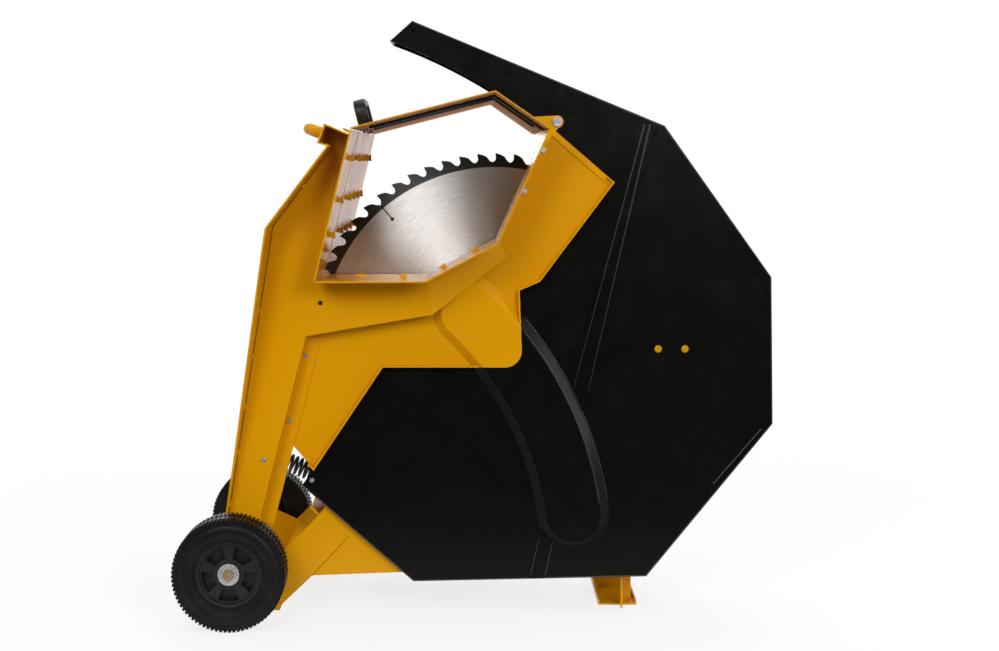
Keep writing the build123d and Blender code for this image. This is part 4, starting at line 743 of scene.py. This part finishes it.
def stacked_heads_tree(name, sides, taper, finish):
    """Geometry tree that puts a washer and a tapered head on every point, aimed along its own facing."""
    tree = bpy.data.node_groups.new(name, "GeometryNodeTree")
    tree.interface.new_socket("Geometry", in_out="INPUT", socket_type="NodeSocketGeometry")
    for label in ("Head Radius", "Head Height", "Washer Radius", "Washer Height"):
        tree.interface.new_socket(label, in_out="INPUT", socket_type="NodeSocketFloat")
    tree.interface.new_socket("Geometry", in_out="OUTPUT", socket_type="NodeSocketGeometry")
    given = tree.nodes.new("NodeGroupInput").outputs
    washer = add_node(tree, "GeometryNodeMeshCylinder", Vertices=WASHER_SIDES, Radius=given["Washer Radius"],
                      Depth=given["Washer Height"])
    head = add_node(tree, "GeometryNodeMeshCone", Vertices=sides, Radius_Bottom=given["Head Radius"],
                    Radius_Top=maths(tree, "MULTIPLY", given["Head Radius"], taper), Depth=given["Head Height"])
    both = tree.nodes.new("GeometryNodeJoinGeometry")
    half_washer = maths(tree, "MULTIPLY", given["Washer Height"], 0.5)
    for shape, lift in ((washer, half_washer), (head, given["Washer Height"])):
        rise = add_node(tree, "ShaderNodeCombineXYZ", Z=lift)
        lifted = add_node(tree, "GeometryNodeTransform", Geometry=shape.outputs["Mesh"],
                          Translation=rise.outputs["Vector"])
        tree.links.new(lifted.outputs["Geometry"], both.inputs[0])
    points = add_node(tree, "GeometryNodeMeshToPoints", Mesh=given["Geometry"])
    facing = add_node(tree, "GeometryNodeInputNamedAttribute", Name="facing")
    facing.data_type = "FLOAT_VECTOR"
    aim = add_node(tree, "FunctionNodeAlignRotationToVector", Vector=facing.outputs["Attribute"])
    aim.axis = "Z"
    spread = add_node(tree, "GeometryNodeInstanceOnPoints", Points=points.outputs["Points"],
                      Instance=both.outputs["Geometry"], Rotation=aim.outputs["Rotation"])
    real = add_node(tree, "GeometryNodeRealizeInstances", Geometry=spread.outputs["Instances"])
    plated = add_node(tree, "GeometryNodeSetMaterial", Geometry=real.outputs["Geometry"], Material=finish)
    add_node(tree, "NodeGroupOutput", Geometry=plated.outputs["Geometry"])
    return tree


HEX_BOLTS = stacked_heads_tree("hex_bolts", sides=6, taper=0.88, finish=finishes["zinc"])
DOME_RIVETS = stacked_heads_tree("dome_rivets", sides=14, taper=0.55, finish=finishes["black_paint"])


def fasteners(name, tree, places, head_radius, head_height, washer_radius):
    """Fastener heads at (place, facing) pairs, made one plain mesh; their sizes are in metres."""
    seeds = bpy.data.meshes.new(name + "_seeds")
    seeds.from_pydata([place for place, facing in places], [], [])
    aim = seeds.attributes.new("facing", "FLOAT_VECTOR", "POINT")
    for i, (place, facing) in enumerate(places):
        aim.data[i].vector = Vector(facing).normalized()
    piece = bpy.data.objects.new(name, seeds)
    scene.collection.objects.link(piece)
    maker = piece.modifiers.new("heads", "NODES")
    maker.node_group = tree
    sizes = {"Head Radius": head_radius, "Head Height": head_height, "Washer Radius": washer_radius,
             "Washer Height": WASHER_HEIGHT}
    for item in tree.interface.items_tree:
        if item.name in sizes:
            maker[item.identifier] = sizes[item.name]
    bpy.context.view_layer.update()
    shown = piece.evaluated_get(bpy.context.evaluated_depsgraph_get())
    piece.data = bpy.data.meshes.new_from_object(shown)
    piece.modifiers.clear()
    return piece


TOWARDS_VIEWER = (0, -1, 0)
COVER_FACE = 123
COVER_BOLTS = [(124, 471), (94, 352)]
cover_bolts = fasteners("cover_bolts", HEX_BOLTS,
                        [(spot(x, COVER_FACE, z), TOWARDS_VIEWER) for x, z in COVER_BOLTS],
                        head_radius=0.005, head_height=0.004, washer_radius=0.0062)
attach(cover_bolts, "cradle")

ARM_BOLT = (51, WEB_Y, 286)
arm_bolt = fasteners("arm_bolt", HEX_BOLTS, [(spot(*ARM_BOLT), TOWARDS_VIEWER)],
                     head_radius=0.003, head_height=0.003, washer_radius=0.0045)
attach(arm_bolt, "cradle")

TIP_BOLT = (134.6, GUARD_FACE, 242)
tip_bolt = fasteners("guard_tip_bolt", HEX_BOLTS, [(spot(*TIP_BOLT), TOWARDS_VIEWER)],
                     head_radius=0.0032, head_height=0.0028, washer_radius=0.0044)
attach(tip_bolt, "cradle")

GUARD_RIVETS = [(319, 1068), (502, 987), (764, 876), (948, 626), (963, 597), (965, 368), (955, 345)]
guard_rivets = fasteners("guard_rivets", DOME_RIVETS,
                         [(spot(x, GUARD_FACE, z), TOWARDS_VIEWER) for x, z in GUARD_RIVETS],
                         head_radius=0.0055, head_height=0.0035, washer_radius=0.0062)
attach(guard_rivets, "cradle")

# Trough edge bolts: two zinc bolts go through the sloping back plate, close to its near edge, with their
# heads on the plate's outer side.
BACK_OUTWARD = Vector((200, 0, -91)).normalized()
BACK_SHEET = 3.05
EDGE_Y = 14
TROUGH_BOLTS = [(546.2, 847), (513.4, 775)]
back_x = BACK_OUTWARD.x * BACK_SHEET
back_z = BACK_OUTWARD.z * BACK_SHEET
trough_bolts = fasteners("trough_bolts", HEX_BOLTS,
                         [(spot(x + back_x, EDGE_Y, z + back_z), BACK_OUTWARD) for x, z in TROUGH_BOLTS],
                         head_radius=0.006, head_height=0.006, washer_radius=0.008)
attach(trough_bolts, "cradle")

# Grip bolts: the lid grip's two zinc bolts come through the lid's front strip and show their nuts and
# washers under it.
GRIP_NUT_X = 225.2
GRIP_NUT_Z = 885.2
grip_bolts = fasteners("grip_bolts", HEX_BOLTS,
                       [(spot(GRIP_NUT_X, y, GRIP_NUT_Z), -GRIP_UP) for y in (GRIP_NEAR, GRIP_FAR)],
                       head_radius=0.006, head_height=0.005, washer_radius=0.008)
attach(grip_bolts, "lid")

# Return spring: dark coil wire between the near arm and the frame's tab. It stretches between the two
# bodies when the cradle tilts; here it is one smooth wire from its seat on the arm to its seat on the tab.
WIRE_RADIUS = 2.5
WIRE_ROUNDNESS = 4
COIL_RADIUS = 15.0
COIL_TURNS = 8.5
COIL_START = Vector((82.0, 164.0, 270.0))
COIL_END = Vector((155.0, 164.0, 239.6))
ARM_SEAT_Y = 123.2
TAB_SEAT_Y = 143.2
STEPS_PER_TURN = 28
along = COIL_END - COIL_START
axis = along.normalized()
upward = Vector((-axis.z, 0, axis.x))
steps = int(COIL_TURNS * STEPS_PER_TURN)
coil = []
for i in range(steps + 1):
    turn = 2 * pi * COIL_TURNS * i / steps
    centre = COIL_START + along * (i / steps)
    coil.append(centre + upward * (COIL_RADIUS * cos(turn)) + Vector((0, COIL_RADIUS * sin(turn), 0)))
arm_leg = Vector((coil[0].x, ARM_SEAT_Y, coil[0].z))
tab_leg = Vector((coil[-1].x, TAB_SEAT_Y, coil[-1].z))
spring = round_wire("return_spring_coil", [[arm_leg] + coil + [tab_leg]], WIRE_RADIUS,
                    finishes["spring_steel"], WIRE_ROUNDNESS)
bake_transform(spring)
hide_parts("return_spring")
